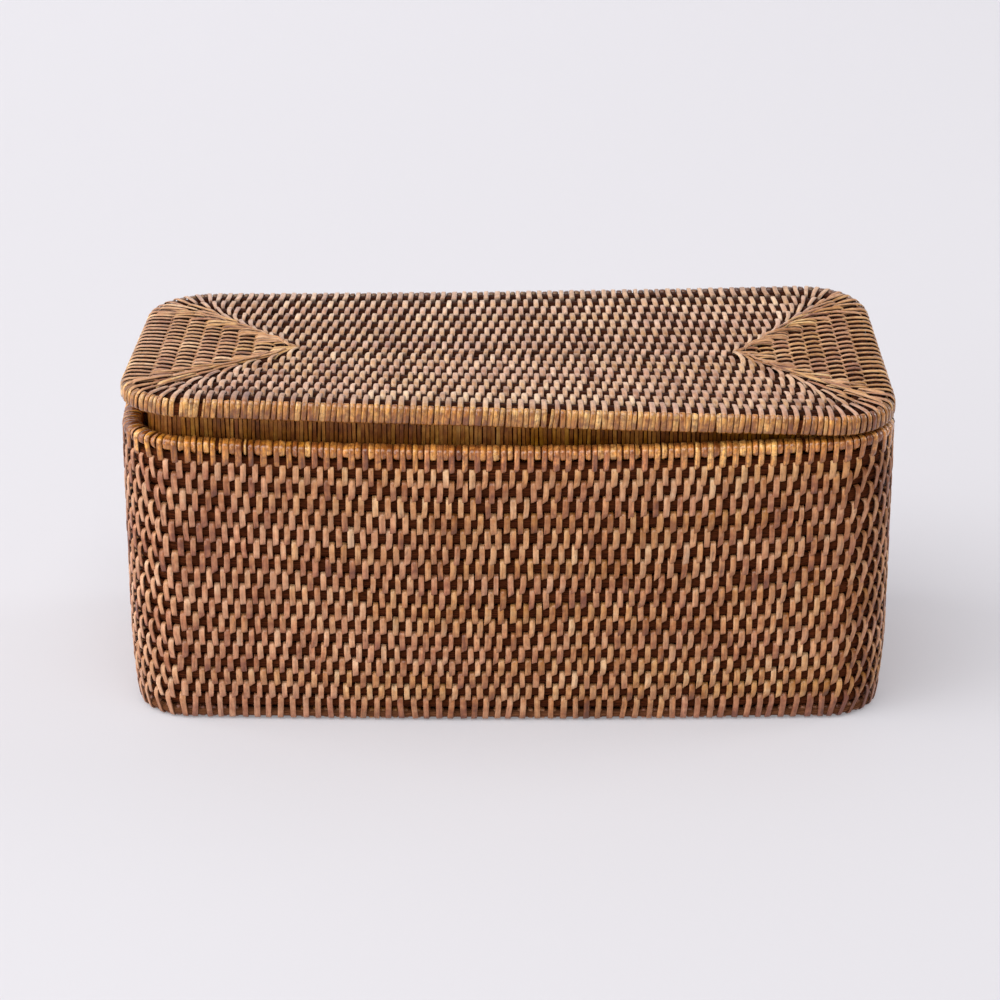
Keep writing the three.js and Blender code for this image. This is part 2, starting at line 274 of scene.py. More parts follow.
class Buffer:
    """Gathers strips and rods, then writes one mesh object."""

    def __init__(self):
        self.co, self.quads, self.mat, self.uv, self.bake = [], [], [], [], []
        self.attr = {k: [] for k in ("tone", "warm", "edge")}
        self.n = 0

    def strips(self, pos, tone, warm, edge, run, mat=0):
        """pos (N, M, 6, 3); tone, warm (N,) or (N, M); edge (N, M, 6); run (N, M) length along the
        strip; mat one index, or one for each of the M - 1 lengths."""
        N, M, Q = pos.shape[:3]
        k = np.arange(M - 1)[:, None] * Q
        q = np.arange(Q)[None, :]
        r = (q + 1) % Q
        side = np.stack([k + q, k + Q + q, k + Q + r, k + r], -1).reshape(-1, 4)
        cap0 = np.array([[0, 1, 2, 3], [0, 3, 4, 5]])
        e = (M - 1) * Q
        cap1 = np.array([[e + 3, e + 2, e + 1, e], [e + 5, e + 4, e + 3, e]])
        one = np.concatenate([side, cap0, cap1])
        quads = (one[None] + (np.arange(N) * M * Q)[:, None, None]).reshape(-1, 4) + self.n
        self.co.append(pos.reshape(-1, 3))
        self.quads.append(quads)
        along_mat = np.broadcast_to(np.asarray(mat), (M - 1,))
        self.mat.append(np.tile(np.concatenate([np.repeat(along_mat, Q), along_mat[[0, 0, -1, -1]]]), N))
        for key, value in (("tone", tone), ("warm", warm)):
            value = value[:, None] if value.ndim == 1 else value
            self.attr[key].append(np.repeat(np.broadcast_to(value, (N, M)).reshape(-1), Q))
        self.attr["edge"].append(edge.reshape(-1))
        # fibre coordinates: across the strip, along the strip, each strip with its own offset
        w = np.linalg.norm(pos[:, :, 5] - pos[:, :, 0], axis=-1)
        off = RNG.uniform(0, 400, (N, 2))
        across = (np.array([0, 0.12, 0.3, 0.7, 0.88, 1.0, 1.12])[None, None] * w[..., None] + off[:, 0][:, None, None])
        along = np.broadcast_to((run + off[:, 1][:, None])[..., None], across.shape)
        fib = np.stack([across, along], -1)              # (N, M, 7, 2)
        g = np.stack([fib[:, :-1, :-1], fib[:, 1:, :-1], fib[:, 1:, 1:], fib[:, :-1, 1:]], 3)   # (N, M-1, 6, 4, 2)
        caps = np.broadcast_to(fib[:, :1, :1, None], (N, 1, 4, 4, 2)).reshape(N, 4, 4, 2)
        self.uv.append(np.concatenate([g.reshape(N, -1, 4, 2), caps], 1).reshape(-1, 2))
        # bake cell, 0..1 inside the strip's own cell
        perim = np.array([0, 0.1, 0.26, 0.5, 0.66, 0.76, 1.0])
        tot = run - run[:, :1]
        tot = tot / np.maximum(tot[:, -1:], 1e-6)
        cu = np.broadcast_to(perim[None, None] * 0.94 + 0.03, (N, M, 7))
        cv = np.broadcast_to((tot * 0.94 + 0.03)[..., None], (N, M, 7))
        c = np.stack([cu, cv], -1)
        g = np.stack([c[:, :-1, :-1], c[:, 1:, :-1], c[:, 1:, 1:], c[:, :-1, 1:]], 3).reshape(N, -1, 4, 2)
        tiny = np.array([[0.01, 0.01], [0.015, 0.01], [0.015, 0.015], [0.01, 0.015]])
        caps = np.stack([tiny + d for d in ((0, 0), (0.006, 0), (0, 0.975), (0.006, 0.975))])
        caps = np.broadcast_to(caps[None], (N, 4, 4, 2))
        self.bake.append(("cell", np.concatenate([g, caps], 1)))
        self.n += N * M * Q

    def rod(self, rings, mat=1, closed=True, tone=0.5):
        """rings (S, Q, 3): sections of a rod, joined round; closed joins the last to the first."""
        S, Q = rings.shape[:2]
        last = S if closed else S - 1
        i = np.arange(last)[:, None]
        q = np.arange(Q)[None, :]
        j = (i + 1) % S
        r = (q + 1) % Q
        quads = np.stack([i * Q + q, j * Q + q, j * Q + r, i * Q + r], -1).reshape(-1, 4) + self.n
        self.co.append(rings.reshape(-1, 3))
        step = np.linalg.norm(np.roll(rings.mean(1), -1, 0) - rings.mean(1), axis=-1)
        run = np.concatenate([[0], np.cumsum(step)])
        u = np.arange(Q + 1) * 1.9
        f = np.stack(np.meshgrid(run[: last + 1], u, indexing="ij"), -1)[..., ::-1]
        g = np.stack([f[:-1, :-1], f[1:, :-1], f[1:, 1:], f[:-1, 1:]], 2)
        self.uv.append(g.reshape(-1, 2))
        b = np.stack(np.meshgrid(np.linspace(0.002, 0.998, last + 1), np.linspace(0.05, 0.95, Q + 1), indexing="ij"), -1)
        g = np.stack([b[:-1, :-1], b[1:, :-1], b[1:, 1:], b[:-1, 1:]], 2)
        self.bake.append(("band", g.reshape(1, -1, 4, 2)))
        self.quads.append(quads)
        count = len(quads)
        if not closed:
            for base_i, flip in ((0, True), ((S - 1) * Q, False)):
                ring = np.arange(Q) + base_i + self.n
                tri = []
                for a in range(1, Q - 2, 2):
                    tri.append([ring[0], ring[a + 2], ring[a + 1], ring[a]] if not flip else [ring[0], ring[a], ring[a + 1], ring[a + 2]])
                tri = np.array(tri)
                self.quads.append(tri)
                self.uv.append(np.zeros((len(tri) * 4, 2)))
                z = np.zeros((1, len(tri), 4, 2)) + np.array([0.0005, 0.02])
                z[..., 1, 0] += 0.0005
                z[..., 2, :] += 0.0005
                z[..., 3, 1] += 0.0005
                self.bake.append(("band", z))
                count += len(tri)
        self.mat.append(np.full(count, mat))
        self.attr["tone"].append(np.full(S * Q, tone))
        self.attr["warm"].append(np.full(S * Q, 0.5))
        self.attr["edge"].append(np.zeros(S * Q))
        self.n += S * Q

    def write(self, name, materials):
        co = np.concatenate(self.co) * 0.001
        quads = np.concatenate(self.quads)
        me = bpy.data.meshes.new(name)
        me.vertices.add(len(co))
        me.vertices.foreach_set("co", co.astype(np.float32).ravel())
        me.loops.add(quads.size)
        me.loops.foreach_set("vertex_index", quads.astype(np.int32).ravel())
        me.polygons.add(len(quads))
        me.polygons.foreach_set("loop_start", (np.arange(len(quads)) * 4).astype(np.int32))
        me.polygons.foreach_set("material_index", np.concatenate(self.mat).astype(np.int32))
        me.polygons.foreach_set("use_smooth", np.ones(len(quads), bool))
        # bake cells: strips in a grid over the upper part, rods as bands below
        strips = sum(a.shape[0] for k, a in self.bake if k == "cell")
        bands = sum(1 for k, a in self.bake if k == "band")
        foot = min(0.3, 0.035 * bands)
        cols = max(1, math.ceil(math.sqrt(max(strips, 1) * 2.2)))
        rows = max(1, math.ceil(max(strips, 1) / cols))
        n_cell, n_band, bake = 0, 0, []
        for kind, a in self.bake:
            if kind == "cell":
                idx = np.arange(a.shape[0]) + n_cell
                n_cell += a.shape[0]
                ox = (idx % cols)[:, None, None]
                oy = (idx // cols)[:, None, None]
                x = (a[..., 0] + ox) / cols
                y = foot + (1 - foot) * (a[..., 1] + oy) / rows
            else:
                x = a[..., 0]
                y = foot * (a[..., 1] + n_band) / max(bands, 1)
                n_band += 1
            bake.append(np.stack([x, y], -1).reshape(-1, 2))
        for uvname, data in (("strip", np.concatenate(self.uv)), ("OFBake", np.concatenate(bake))):
            layer = me.uv_layers.new(name=uvname)
            layer.uv.foreach_set("vector", data.astype(np.float32).ravel())
        for key, parts in self.attr.items():
            at = me.attributes.new(key, "FLOAT", "POINT")
            at.data.foreach_set("value", np.concatenate(parts).astype(np.float32))
        for m in materials:
            me.materials.append(m)
        me.update(calc_edges=True)
        me.validate()
        me.set_sharp_from_angle(angle=math.radians(50))
        ob = bpy.data.objects.new(name, me)
        bpy.context.scene.collection.objects.link(ob)
        return ob


# ------------------------------------------------------------------ strips


def runs(n, lo=9, hi=26, spread=1.0):
    """A value per stitch that holds along each length of strip and then jumps to the next."""
    out, i = np.zeros(n), 0
    while i < n:
        k = int(RNG.integers(lo, hi))
        out[i : i + k] = RNG.normal(0, spread)
        i += k
    return out


def wobble(n, knots):
    k = RNG.normal(0, 1, knots)
    x = np.linspace(0, knots, n, endpoint=False)
    return np.interp(x, np.arange(knots + 1), np.append(k, k[0]))


def stitch_profile(rn, rv, p, no, ni, f, g=0.06, square=SQUARE, pillow=0.0):
    """Inner face of a strip that comes out of the rod before, goes over its own rod and dives
    back into the rod before. pillow is how far it sinks between the two rods. All arguments
    broadcast to (N,). Returns v, n (N, M)."""
    rn, rv, p, no, ni, f, q = np.broadcast_arrays(*[np.asarray(a, float) for a in (rn, rv, p, no, ni, f, pillow)])
    Rn, Rv = rn + g, rv + g
    o, i = no + g, ni - g
    pts = [
        (-(f + 0.05) * p, i + 1.7),
        (-f * p, i + 0.3),
        (-0.55 * p, 0.5 * (i - Rn)),
        (-0.05 * p, -Rn),
    ]
    for a in (138, 104, 76, 52, 26):
        t = math.radians(a)
        c = math.cos(t)
        pts.append((Rv * math.sin(t) ** square, Rn * math.copysign(abs(c) ** square, c)))
    pts += [
        (-0.03 * p, Rn),
        (-0.52 * f * p, Rn + 0.45 * (o - Rn) - 0.14 * q),
        (-0.83 * f * p, Rn + 0.85 * (o - Rn) - 0.5 * q),
        (-0.95 * f * p, o - 0.1 - 0.8 * q),
        (-1.0 * f * p, o - 0.5 - q),
        (-(f + 0.03) * p, o - 1.7 - q),
    ]
    v = np.stack([a[0] * np.ones_like(p) for a in pts], -1)
    n = np.stack([a[1] * np.ones_like(p) for a in pts], -1)
    shear = np.array([0] * 10 + [0.25, 0.75, 1.0, 1.0, 1.0])
    inside = np.array([1, 1, 1, 1] + [0] * 11, float)
    # dive: how dark each section is painted where the strip goes into a rod, partly dirt, partly painted shade
    dive = np.array([1, 0.8, 0.1, 0, 0, 0, 0, 0, 0, 0, 0, 0.04, 0.2, 0.7, 1.0])
    return v, n, shear, inside, dive


def edge_profile(rn, reach, foot, p, no, f, g=0.06, end=None, sink=0.0):
    """Inner face of a strip that starts under the rim, runs up its outer face, over the last rod
    and dives into the rod before. reach and foot are the rim's outer face and underside. With
    end, the strip stops short and dives at that place on top of the last rod, sink lower."""
    reach, p, f = np.broadcast_arrays(*[np.asarray(a, float) for a in (reach, p, f)])
    R, o = rn + g, no + g
    one = np.ones_like(p)
    pts = [
        (reach - 2.9, (foot + 0.6) * one),
        (reach - 1.7, (foot + 0.02) * one),
        (reach - 0.75, (foot + 0.12) * one),
        (reach - 0.15, (foot + 0.75) * one),
        (reach, (foot + 1.7) * one),
        (reach + 0.05, (foot + 3.6) * one),
        (reach - 0.05, (foot + 5.6) * one),
        (reach - 0.55, (R - 1.55) * one),
        (reach - 1.7, (R - 0.55) * one),
        (reach - 3.4, (R - 0.08) * one),
        (-0.03 * p, R * one),
        (-0.52 * f * p, R + 0.45 * (o - R) * one),
        (-0.83 * f * p, R + 0.85 * (o - R) * one),
        (-0.95 * f * p, (o - 0.1) * one),
        (-1.0 * f * p, (o - 0.5) * one),
        (-(f + 0.03) * p, (o - 1.7) * one),
    ]
    if end is not None:
        def at(t, low):
            d = 0.5 + (reach - end - 0.5) * t
            fall = np.interp(d, (0.5, 1.0, 1.5, 3.0, 5.0), (1.65, 0.95, 0.6, 0.15, 0.0))
            return reach - d, R - 0.25 - sink * min(1.0, 0.6 + 2 * t) - fall - low
        pts[7:] = [at(0.0, 0), at(0.2, 0), at(0.44, 0), at(0.68, 0), at(0.86, 0), at(0.96, 0.2), at(1.0, 0.65),
                   at(1.01, 1.45), at(1.02, 2.15)]
    v = np.stack([a[0] for a in pts], -1)
    n = np.stack([a[1] for a in pts], -1)
    shear = np.array([0] * 11 + [0.25, 0.75, 1.0, 1.0, 1.0])
    # dive: how dark each section is painted where the strip goes into a rod, partly dirt, partly painted shade
    dive = np.array([1, 0.5, 0.15] + [0.0] * 9 + [0.2, 0.7, 1.0, 1.0])
    return v, n, shear, dive


def ring_profile(rn, rv, a0, a1, count=13, g=0.06, square=SQUARE):
    """Strip wrapped round one rod only, between two angles. 0 faces out (n), 90 is +v."""
    rn, rv = np.broadcast_arrays(np.asarray(rn, float), np.asarray(rv, float))
    t = np.radians(np.linspace(a0, a1, count))
    s, c = np.sin(t), np.cos(t)
    v = (rv[:, None] + g) * (np.sign(s) * np.abs(s) ** square)[None]
    n = (rn[:, None] + g) * (np.sign(c) * np.abs(c) ** square)[None]
    return v, n


def normals(v, n):
    dv = np.gradient(v, axis=1)
    dn = np.gradient(n, axis=1)
    ln = np.maximum(np.hypot(dv, dn), 1e-6)
    return dn / ln, -dv / ln


def lay(v, n, a, w, thick, shear, k, roll=0.05, section=FLAT_SECTION):
    """Sections of strips in (a, v, n): a along the course. Returns (N, M, 6, 3) and run length."""
    mv, mn = normals(v, n)
    b = section[0][None, None] * (w[..., None] / 2)
    h = section[1][None, None] * thick[:, None, None] + RNG.normal(0, roll, len(v))[:, None, None] * b
    vv = v[..., None] + mv[..., None] * h + shear[None, :, None] * k[:, None, None] * b
    nn = n[..., None] + mn[..., None] * h
    aa = a[..., None] + b
    step = np.sqrt(np.diff(v, axis=1) ** 2 + np.diff(n, axis=1) ** 2 + np.diff(a, axis=1) ** 2)
    run = np.concatenate([np.zeros((len(v), 1)), np.cumsum(step, 1)], 1)
    return np.stack([aa, vv, nn], -1), run


# How dark each point of a strip is painted: full at its edges and where it dives. Partly dirt, partly painted shade in
# the crevices.
def dirt_and_shade_mask(N, M, dive):
    e = np.array([1.0, 0.4, 0.0, 0.0, 0.4, 1.0])
    return np.broadcast_to(np.maximum(e[None, None], dive[None, :, None]), (N, M, 6)).copy()


# ------------------------------------------------------------------ materials


def ramp(nodes, stops):
    r = nodes.new("ShaderNodeValToRGB")
    el = r.color_ramp.elements
    while len(el) > 1:
        el.remove(el[-1])
    el[0].position, el[0].color = stops[0][0], (*stops[0][1], 1)
    for pos, col in stops[1:]:
        e = el.new(pos)
        e.color = (*col, 1)
    return r


def srgb(r, g, b):
    return tuple(((c / 255) / 12.92 if c <= 10 else (((c / 255) + 0.055) / 1.055) ** 2.4) for c in (r, g, b))


def cane(name, stops, rough, coat, coat_rough, dirt_and_shade_colour, streak=0.5, spec=0.5, mottle=0.0):
    """Split cane: a tone per strip, fibre streaks along it, dark edges and ends (partly dirt, partly painted shade),
    satin lacquer.
    """
    m = bpy.data.materials.new(name)
    m.use_nodes = True
    nt = m.node_tree
    N, L = nt.nodes, nt.links
    bsdf = N["Principled BSDF"]

    def attr(key):
        a = N.new("ShaderNodeAttribute")
        a.attribute_type = "GEOMETRY"
        a.attribute_name = key
        return a.outputs["Fac"]

    def math_node(op, a, b=None, clamp=False):
        n = N.new("ShaderNodeMath")
        n.operation = op
        n.use_clamp = clamp
        for i, x in enumerate((a, b)):
            if x is None:
                continue
            if isinstance(x, (int, float)):
                n.inputs[i].default_value = x
            else:
                L.new(x, n.inputs[i])
        return n.outputs[0]

    uv = N.new("ShaderNodeUVMap")
    uv.uv_map = "strip"

    def fibre(sx, sy, detail, seed):
        mp = N.new("ShaderNodeMapping")
        mp.inputs["Scale"].default_value = (sx, sy, 1)
        mp.inputs["Location"].default_value = (seed, seed * 0.37, 0)
        L.new(uv.outputs["UV"], mp.inputs["Vector"])
        t = N.new("ShaderNodeTexNoise")
        t.noise_dimensions = "2D"
        t.inputs["Scale"].default_value = 1.0
        t.inputs["Detail"].default_value = detail
        t.inputs["Roughness"].default_value = 0.6
        L.new(mp.outputs["Vector"], t.inputs["Vector"])
        return t.outputs["Fac"]

    fine = fibre(1.5, 0.075, 3, 3.1)        # fibre lines
    broad = fibre(1.1, 0.16, 2, 11.7)      # broad streaks
    blot = fibre(0.35, 0.22, 2, 23.9)      # cloudy stain along a strip

    geo = N.new("ShaderNodeTexCoord")
    patch = N.new("ShaderNodeTexNoise")
    patch.inputs["Scale"].default_value = 22.0
    patch.inputs["Detail"].default_value = 3.0
    L.new(geo.outputs["Object"], patch.inputs["Vector"])

    # tone: the strip's own, shifted by stain and streaks
    t = math_node("ADD", attr("tone"), math_node("MULTIPLY", math_node("SUBTRACT", blot, 0.5), 0.75))
    t = math_node("ADD", t, math_node("MULTIPLY", math_node("SUBTRACT", patch.outputs["Fac"], 0.5), 0.4))
    t = math_node("ADD", t, math_node("MULTIPLY", math_node("SUBTRACT", broad, 0.5), 0.45 * streak), clamp=True)
    col = ramp(N, stops)
    L.new(t, col.inputs["Fac"])

    # warm shift
    hsv = N.new("ShaderNodeHueSaturation")
    L.new(col.outputs["Color"], hsv.inputs["Color"])
    hue = math_node("ADD", 0.5, math_node("MULTIPLY", math_node("SUBTRACT", attr("warm"), 0.5), 0.016))
    L.new(hue, hsv.inputs["Hue"])
    L.new(math_node("ADD", 0.94, math_node("MULTIPLY", attr("warm"), 0.12)), hsv.inputs["Saturation"])
    # fibre lines in brightness
    val = math_node("ADD", 1.0, math_node("MULTIPLY", math_node("SUBTRACT", fine, 0.5), 1.25 * streak))
    L.new(val, hsv.inputs["Value"])

    # darkened along the edges and where a strip dives into a rod: partly dirt and stain, partly painted shade in the
    # crevices
    e = math_node("MULTIPLY", attr("edge"), math_node("ADD", 0.55, math_node("MULTIPLY", broad, 0.8)), clamp=True)
    mix = N.new("ShaderNodeMix")
    mix.data_type = "RGBA"
    mix.blend_type = "MIX"
    L.new(math_node("MULTIPLY", e, 0.86), mix.inputs["Factor"])
    L.new(hsv.outputs["Color"], mix.inputs["A"])
    mix.inputs["B"].default_value = (*dirt_and_shade_colour, 1)
    # small dark nicks
    nick = fibre(1.7, 0.3, 1, 41.3)
    nr = ramp(N, [(0.0, (1, 1, 1)), (0.24, (1, 1, 1)), (0.34, (0, 0, 0))])
    L.new(nick, nr.inputs["Fac"])
    mix2 = N.new("ShaderNodeMix")
    mix2.data_type = "RGBA"
    L.new(math_node("MULTIPLY", nr.outputs["Color"], 0.3), mix2.inputs["Factor"])
    L.new(mix.outputs["Result"], mix2.inputs["A"])
    mix2.inputs["B"].default_value = (*[c * 1.6 for c in dirt_and_shade_colour], 1)
    last = mix2.outputs["Result"]
    if mottle:
        # uneven old varnish
        cloud = N.new("ShaderNodeTexNoise")
        cloud.inputs["Scale"].default_value = 380.0
        cloud.inputs["Detail"].default_value = 3.0
        cloud.inputs["Roughness"].default_value = 0.65
        L.new(geo.outputs["Object"], cloud.inputs["Vector"])
        cr = ramp(N, [(0.45, (0, 0, 0)), (0.62, (1, 1, 1))])
        L.new(cloud.outputs["Fac"], cr.inputs["Fac"])
        mix3 = N.new("ShaderNodeMix")
        mix3.data_type = "RGBA"
        L.new(math_node("MULTIPLY", cr.outputs["Color"], mottle), mix3.inputs["Factor"])
        L.new(last, mix3.inputs["A"])
        mix3.inputs["B"].default_value = (*srgb(112, 56, 22), 1)
        last = mix3.outputs["Result"]
    L.new(last, bsdf.inputs["Base Color"])

    rr = math_node("ADD", rough, math_node("MULTIPLY", math_node("SUBTRACT", broad, 0.5), 0.35))
    rr = math_node("ADD", rr, math_node("MULTIPLY", attr("edge"), 0.2), clamp=True)
    L.new(rr, bsdf.inputs["Roughness"])
    bsdf.inputs["Specular IOR Level"].default_value = spec
    bsdf.inputs["Coat Weight"].default_value = coat
    bsdf.inputs["Coat Roughness"].default_value = coat_rough
    bsdf.inputs["Coat IOR"].default_value = 1.45

    bump = N.new("ShaderNodeBump")
    bump.inputs["Strength"].default_value = 0.35
    bump.inputs["Distance"].default_value = 0.0002
    L.new(math_node("ADD", fine, math_node("MULTIPLY", broad, 0.8)), bump.inputs["Height"])
    L.new(bump.outputs["Normal"], bsdf.inputs["Normal"])
    return m


def rod_material(name, dark, mid):
    """Round cane stained nearly black, streaked along its length."""
    m = bpy.data.materials.new(name)
    m.use_nodes = True
    nt = m.node_tree
    N, L = nt.nodes, nt.links
    bsdf = N["Principled BSDF"]
    uv = N.new("ShaderNodeUVMap")
    uv.uv_map = "strip"
    mp = N.new("ShaderNodeMapping")
    mp.inputs["Scale"].default_value = (2.2, 0.16, 1)
    L.new(uv.outputs["UV"], mp.inputs["Vector"])
    t = N.new("ShaderNodeTexNoise")
    t.noise_dimensions = "2D"
    t.inputs["Scale"].default_value = 1.0
    t.inputs["Detail"].default_value = 4.0
    L.new(mp.outputs["Vector"], t.inputs["Vector"])
    r = ramp(N, [(0.35, dark), (0.72, mid)])
    L.new(t.outputs["Fac"], r.inputs["Fac"])
    L.new(r.outputs["Color"], bsdf.inputs["Base Color"])
    bsdf.inputs["Roughness"].default_value = 0.5
    bsdf.inputs["Specular IOR Level"].default_value = 0.04
    bsdf.inputs["Specular Tint"].default_value = (1.0, 0.72, 0.5, 1.0)
    bump = N.new("ShaderNodeBump")
    bump.inputs["Strength"].default_value = 0.3
    bump.inputs["Distance"].default_value = 0.0002
    L.new(t.outputs["Fac"], bump.inputs["Height"])
    L.new(bump.outputs["Normal"], bsdf.inputs["Normal"])
    return m


# colour of the darkened edges and dives, partly dirt and partly painted shade, and of the nicks
DIRT_AND_SHADE = srgb(46, 21, 9)
WALL_M = cane("wall_cane", [
    (0.0, srgb(122, 66, 32)), (0.25, srgb(160, 98, 54)), (0.5, srgb(189, 130, 84)),
    (0.75, srgb(207, 153, 107)), (1.0, srgb(223, 179, 136))], 0.42, 0.3, 0.3, DIRT_AND_SHADE, streak=1.0)
# the lid's cane is paler and pinker than the same cane at the short ends: partly painted sheen, standing in for the
# reflection of light on the top
LID_M = cane("lid_cane", [
    (0.0, srgb(120, 72, 46)), (0.25, srgb(158, 107, 72)), (0.5, srgb(190, 141, 103)),
    (0.75, srgb(212, 168, 130)), (1.0, srgb(234, 198, 164))], 0.42, 0.9, 0.32, DIRT_AND_SHADE, streak=0.7)
RIM_M = cane("rim_cane", [
    (0.0, srgb(124, 66, 24)), (0.25, srgb(166, 101, 44)), (0.5, srgb(196, 131, 64)),
    (0.75, srgb(216, 158, 88)), (1.0, srgb(236, 188, 122))], 0.36, 0.8, 0.17, DIRT_AND_SHADE, streak=1.8, mottle=0.66)
# the lid's cane at the short ends: more orange and with less coat, without the painted sheen given to the lid cane
# above
LID_END_M = cane("lid_end_cane", [
    (0.0, srgb(112, 60, 29)), (0.25, srgb(150, 93, 53)), (0.5, srgb(181, 126, 79)),
    (0.75, srgb(206, 154, 104)), (1.0, srgb(230, 187, 139))], 0.42, 0.4, 0.3, DIRT_AND_SHADE, streak=0.8)
BASE_RIM_M = cane("base_rim_cane", [
    (0.0, srgb(116, 58, 20)), (0.25, srgb(158, 90, 38)), (0.5, srgb(198, 125, 60)),
    (0.75, srgb(228, 155, 77)), (1.0, srgb(248, 188, 110))], 0.34, 0.8, 0.17, DIRT_AND_SHADE, streak=1.6, mottle=0.66)
COLLAR_M = cane("collar_cane", [
    (0.0, srgb(92, 46, 9)), (0.25, srgb(136, 76, 21)), (0.5, srgb(168, 105, 34)),
    (0.75, srgb(194, 134, 54)), (1.0, srgb(220, 168, 86))], 0.5, 0.08, 0.3, DIRT_AND_SHADE, streak=0.9, spec=0.3)
FLOOR_M = cane("floor_cane", [
    (0.0, srgb(106, 58, 34)), (0.25, srgb(138, 82, 48)), (0.5, srgb(164, 106, 66)),
    (0.75, srgb(184, 128, 82)), (1.0, srgb(204, 154, 104))], 0.46, 0.2, 0.32, DIRT_AND_SHADE)
ROD_M = rod_material("rod_cane", srgb(51, 20, 8), srgb(101, 50, 25))
LID_ROD_M = rod_material("lid_rod_cane", srgb(31, 12, 6), srgb(72, 36, 20))
FOOT_M = rod_material("foot_cane", srgb(84, 46, 26), srgb(132, 86, 58))

# ------------------------------------------------------------------ pieces

pieces = []


def place(ob, body, slot, *nodes):
    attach(ob, body)
    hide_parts(*nodes)
    pieces.append(ob)


def tones(n, mean, spread=0.16, jitter=0.07, hue=0.28):
    t = mean + runs(n, spread=spread) + RNG.normal(0, jitter, n)
    w = 0.5 + runs(n, spread=hue) + RNG.normal(0, 0.1, n)
    return np.clip(t, 0.02, 0.98), np.clip(w, 0, 1)


def rod_rings(track, zc, rn, rv, shape, q=10, step=4.0):
    """Elliptic rod along a wall track: rn outward, rv upward."""
    s = np.arange(0, track.length, track.length / round(track.length / step))
    p, n = track.at(s)
    a = np.linspace(0, 2 * np.pi, q, endpoint=False)
    xy = p[:, None] + n[:, None] * (rn * np.cos(a))[None, :, None]
    z = np.broadcast_to(zc + rv * np.sin(a), xy.shape[:2])
    return shape(np.concatenate([xy, z[..., None]], -1))


def worn(track, s, places):
    """Width factor: wraps on the front that have worn thin at the places given along x."""
    here, facing = track.at(s)
    f = np.ones(len(s))
    for x in places:
        f[np.argmin(np.abs(here[:, 0] - x) + 1e3 * (facing[:, 1] > -0.5))] = 0.5
    return f


def rim_painted_light(track, s):
    """Painted light: the base rim is painted paler towards the right of the front, standing in for light that reaches
    it there under the lid.
    """
    here, facing = track.at(s)
    x = here[:, 0]
    pale = 0.5 * np.clip(x / BASE_HALF_X, 0, 1) ** 1.1 * (1 - 0.85 * np.clip((x - 95) / 60, 0, 1))
    return np.where(facing[:, 1] < 0.3, pale, 0.05)


def on_track(track, s, local, zc):
    """Strips given in (a, v, n) about stations s on a wall track."""
    p, n = track.at(s[:, None, None] + local[..., 0])
    xy = p + n * local[..., 2:3]
    return np.concatenate([xy, (zc + local[..., 1])[..., None]], -1)


# ---- walls

wall_top = BASE_HEIGHT - BASE_RIM_HEIGHT
pitch_step = 2 * (wall_top / COURSES - PITCH_LOW) / (COURSES - 1)


def foot_inset(z):
    return FOOT_INSET * max(0.0, 1 - z / FOOT_HEIGHT) ** 1.6


courses, z = [], 0.0
for i in range(COURSES):
    pt = PITCH_LOW + pitch_step * i
    courses.append(dict(z=z + (pt - GAP) / 2, pitch=pt, e=foot_inset(z + pt / 2)))
    z += pt
courses.append(dict(z=wall_top + BASE_RIM_HEIGHT / 2, pitch=BASE_RIM_HEIGHT, e=0.0))

ROD_N = WALL_T / 2 - STRIP_T + 0.1
shared = wobble(WALL_STITCHES, 40)


def wall_slant(track, s):
    """Strips lean a little, more towards the right of the long face, and draw round the corners.
    Returns the lean and how far round a corner each strip is."""
    p, n = track.at(s)
    lean = np.where(np.abs(n[:, 1]) > 0.7, -0.3 - 0.5 * np.sign(-n[:, 1]) * p[:, 0] / BASE_HALF_X, -0.45)
    corner = 2 * np.abs(n[:, 0] * n[:, 1])
    return lean + 1.5 * corner * np.sign(n[:, 0] * n[:, 1]), corner


# how far along the visible face of a strip each section lies, from its top to its lower end
DOWN = np.array([0, 0, 0, 0, 0, 0, 0.04, 0.12, 0.25, 0.42, 0.66, 0.86, 0.95, 1, 1])

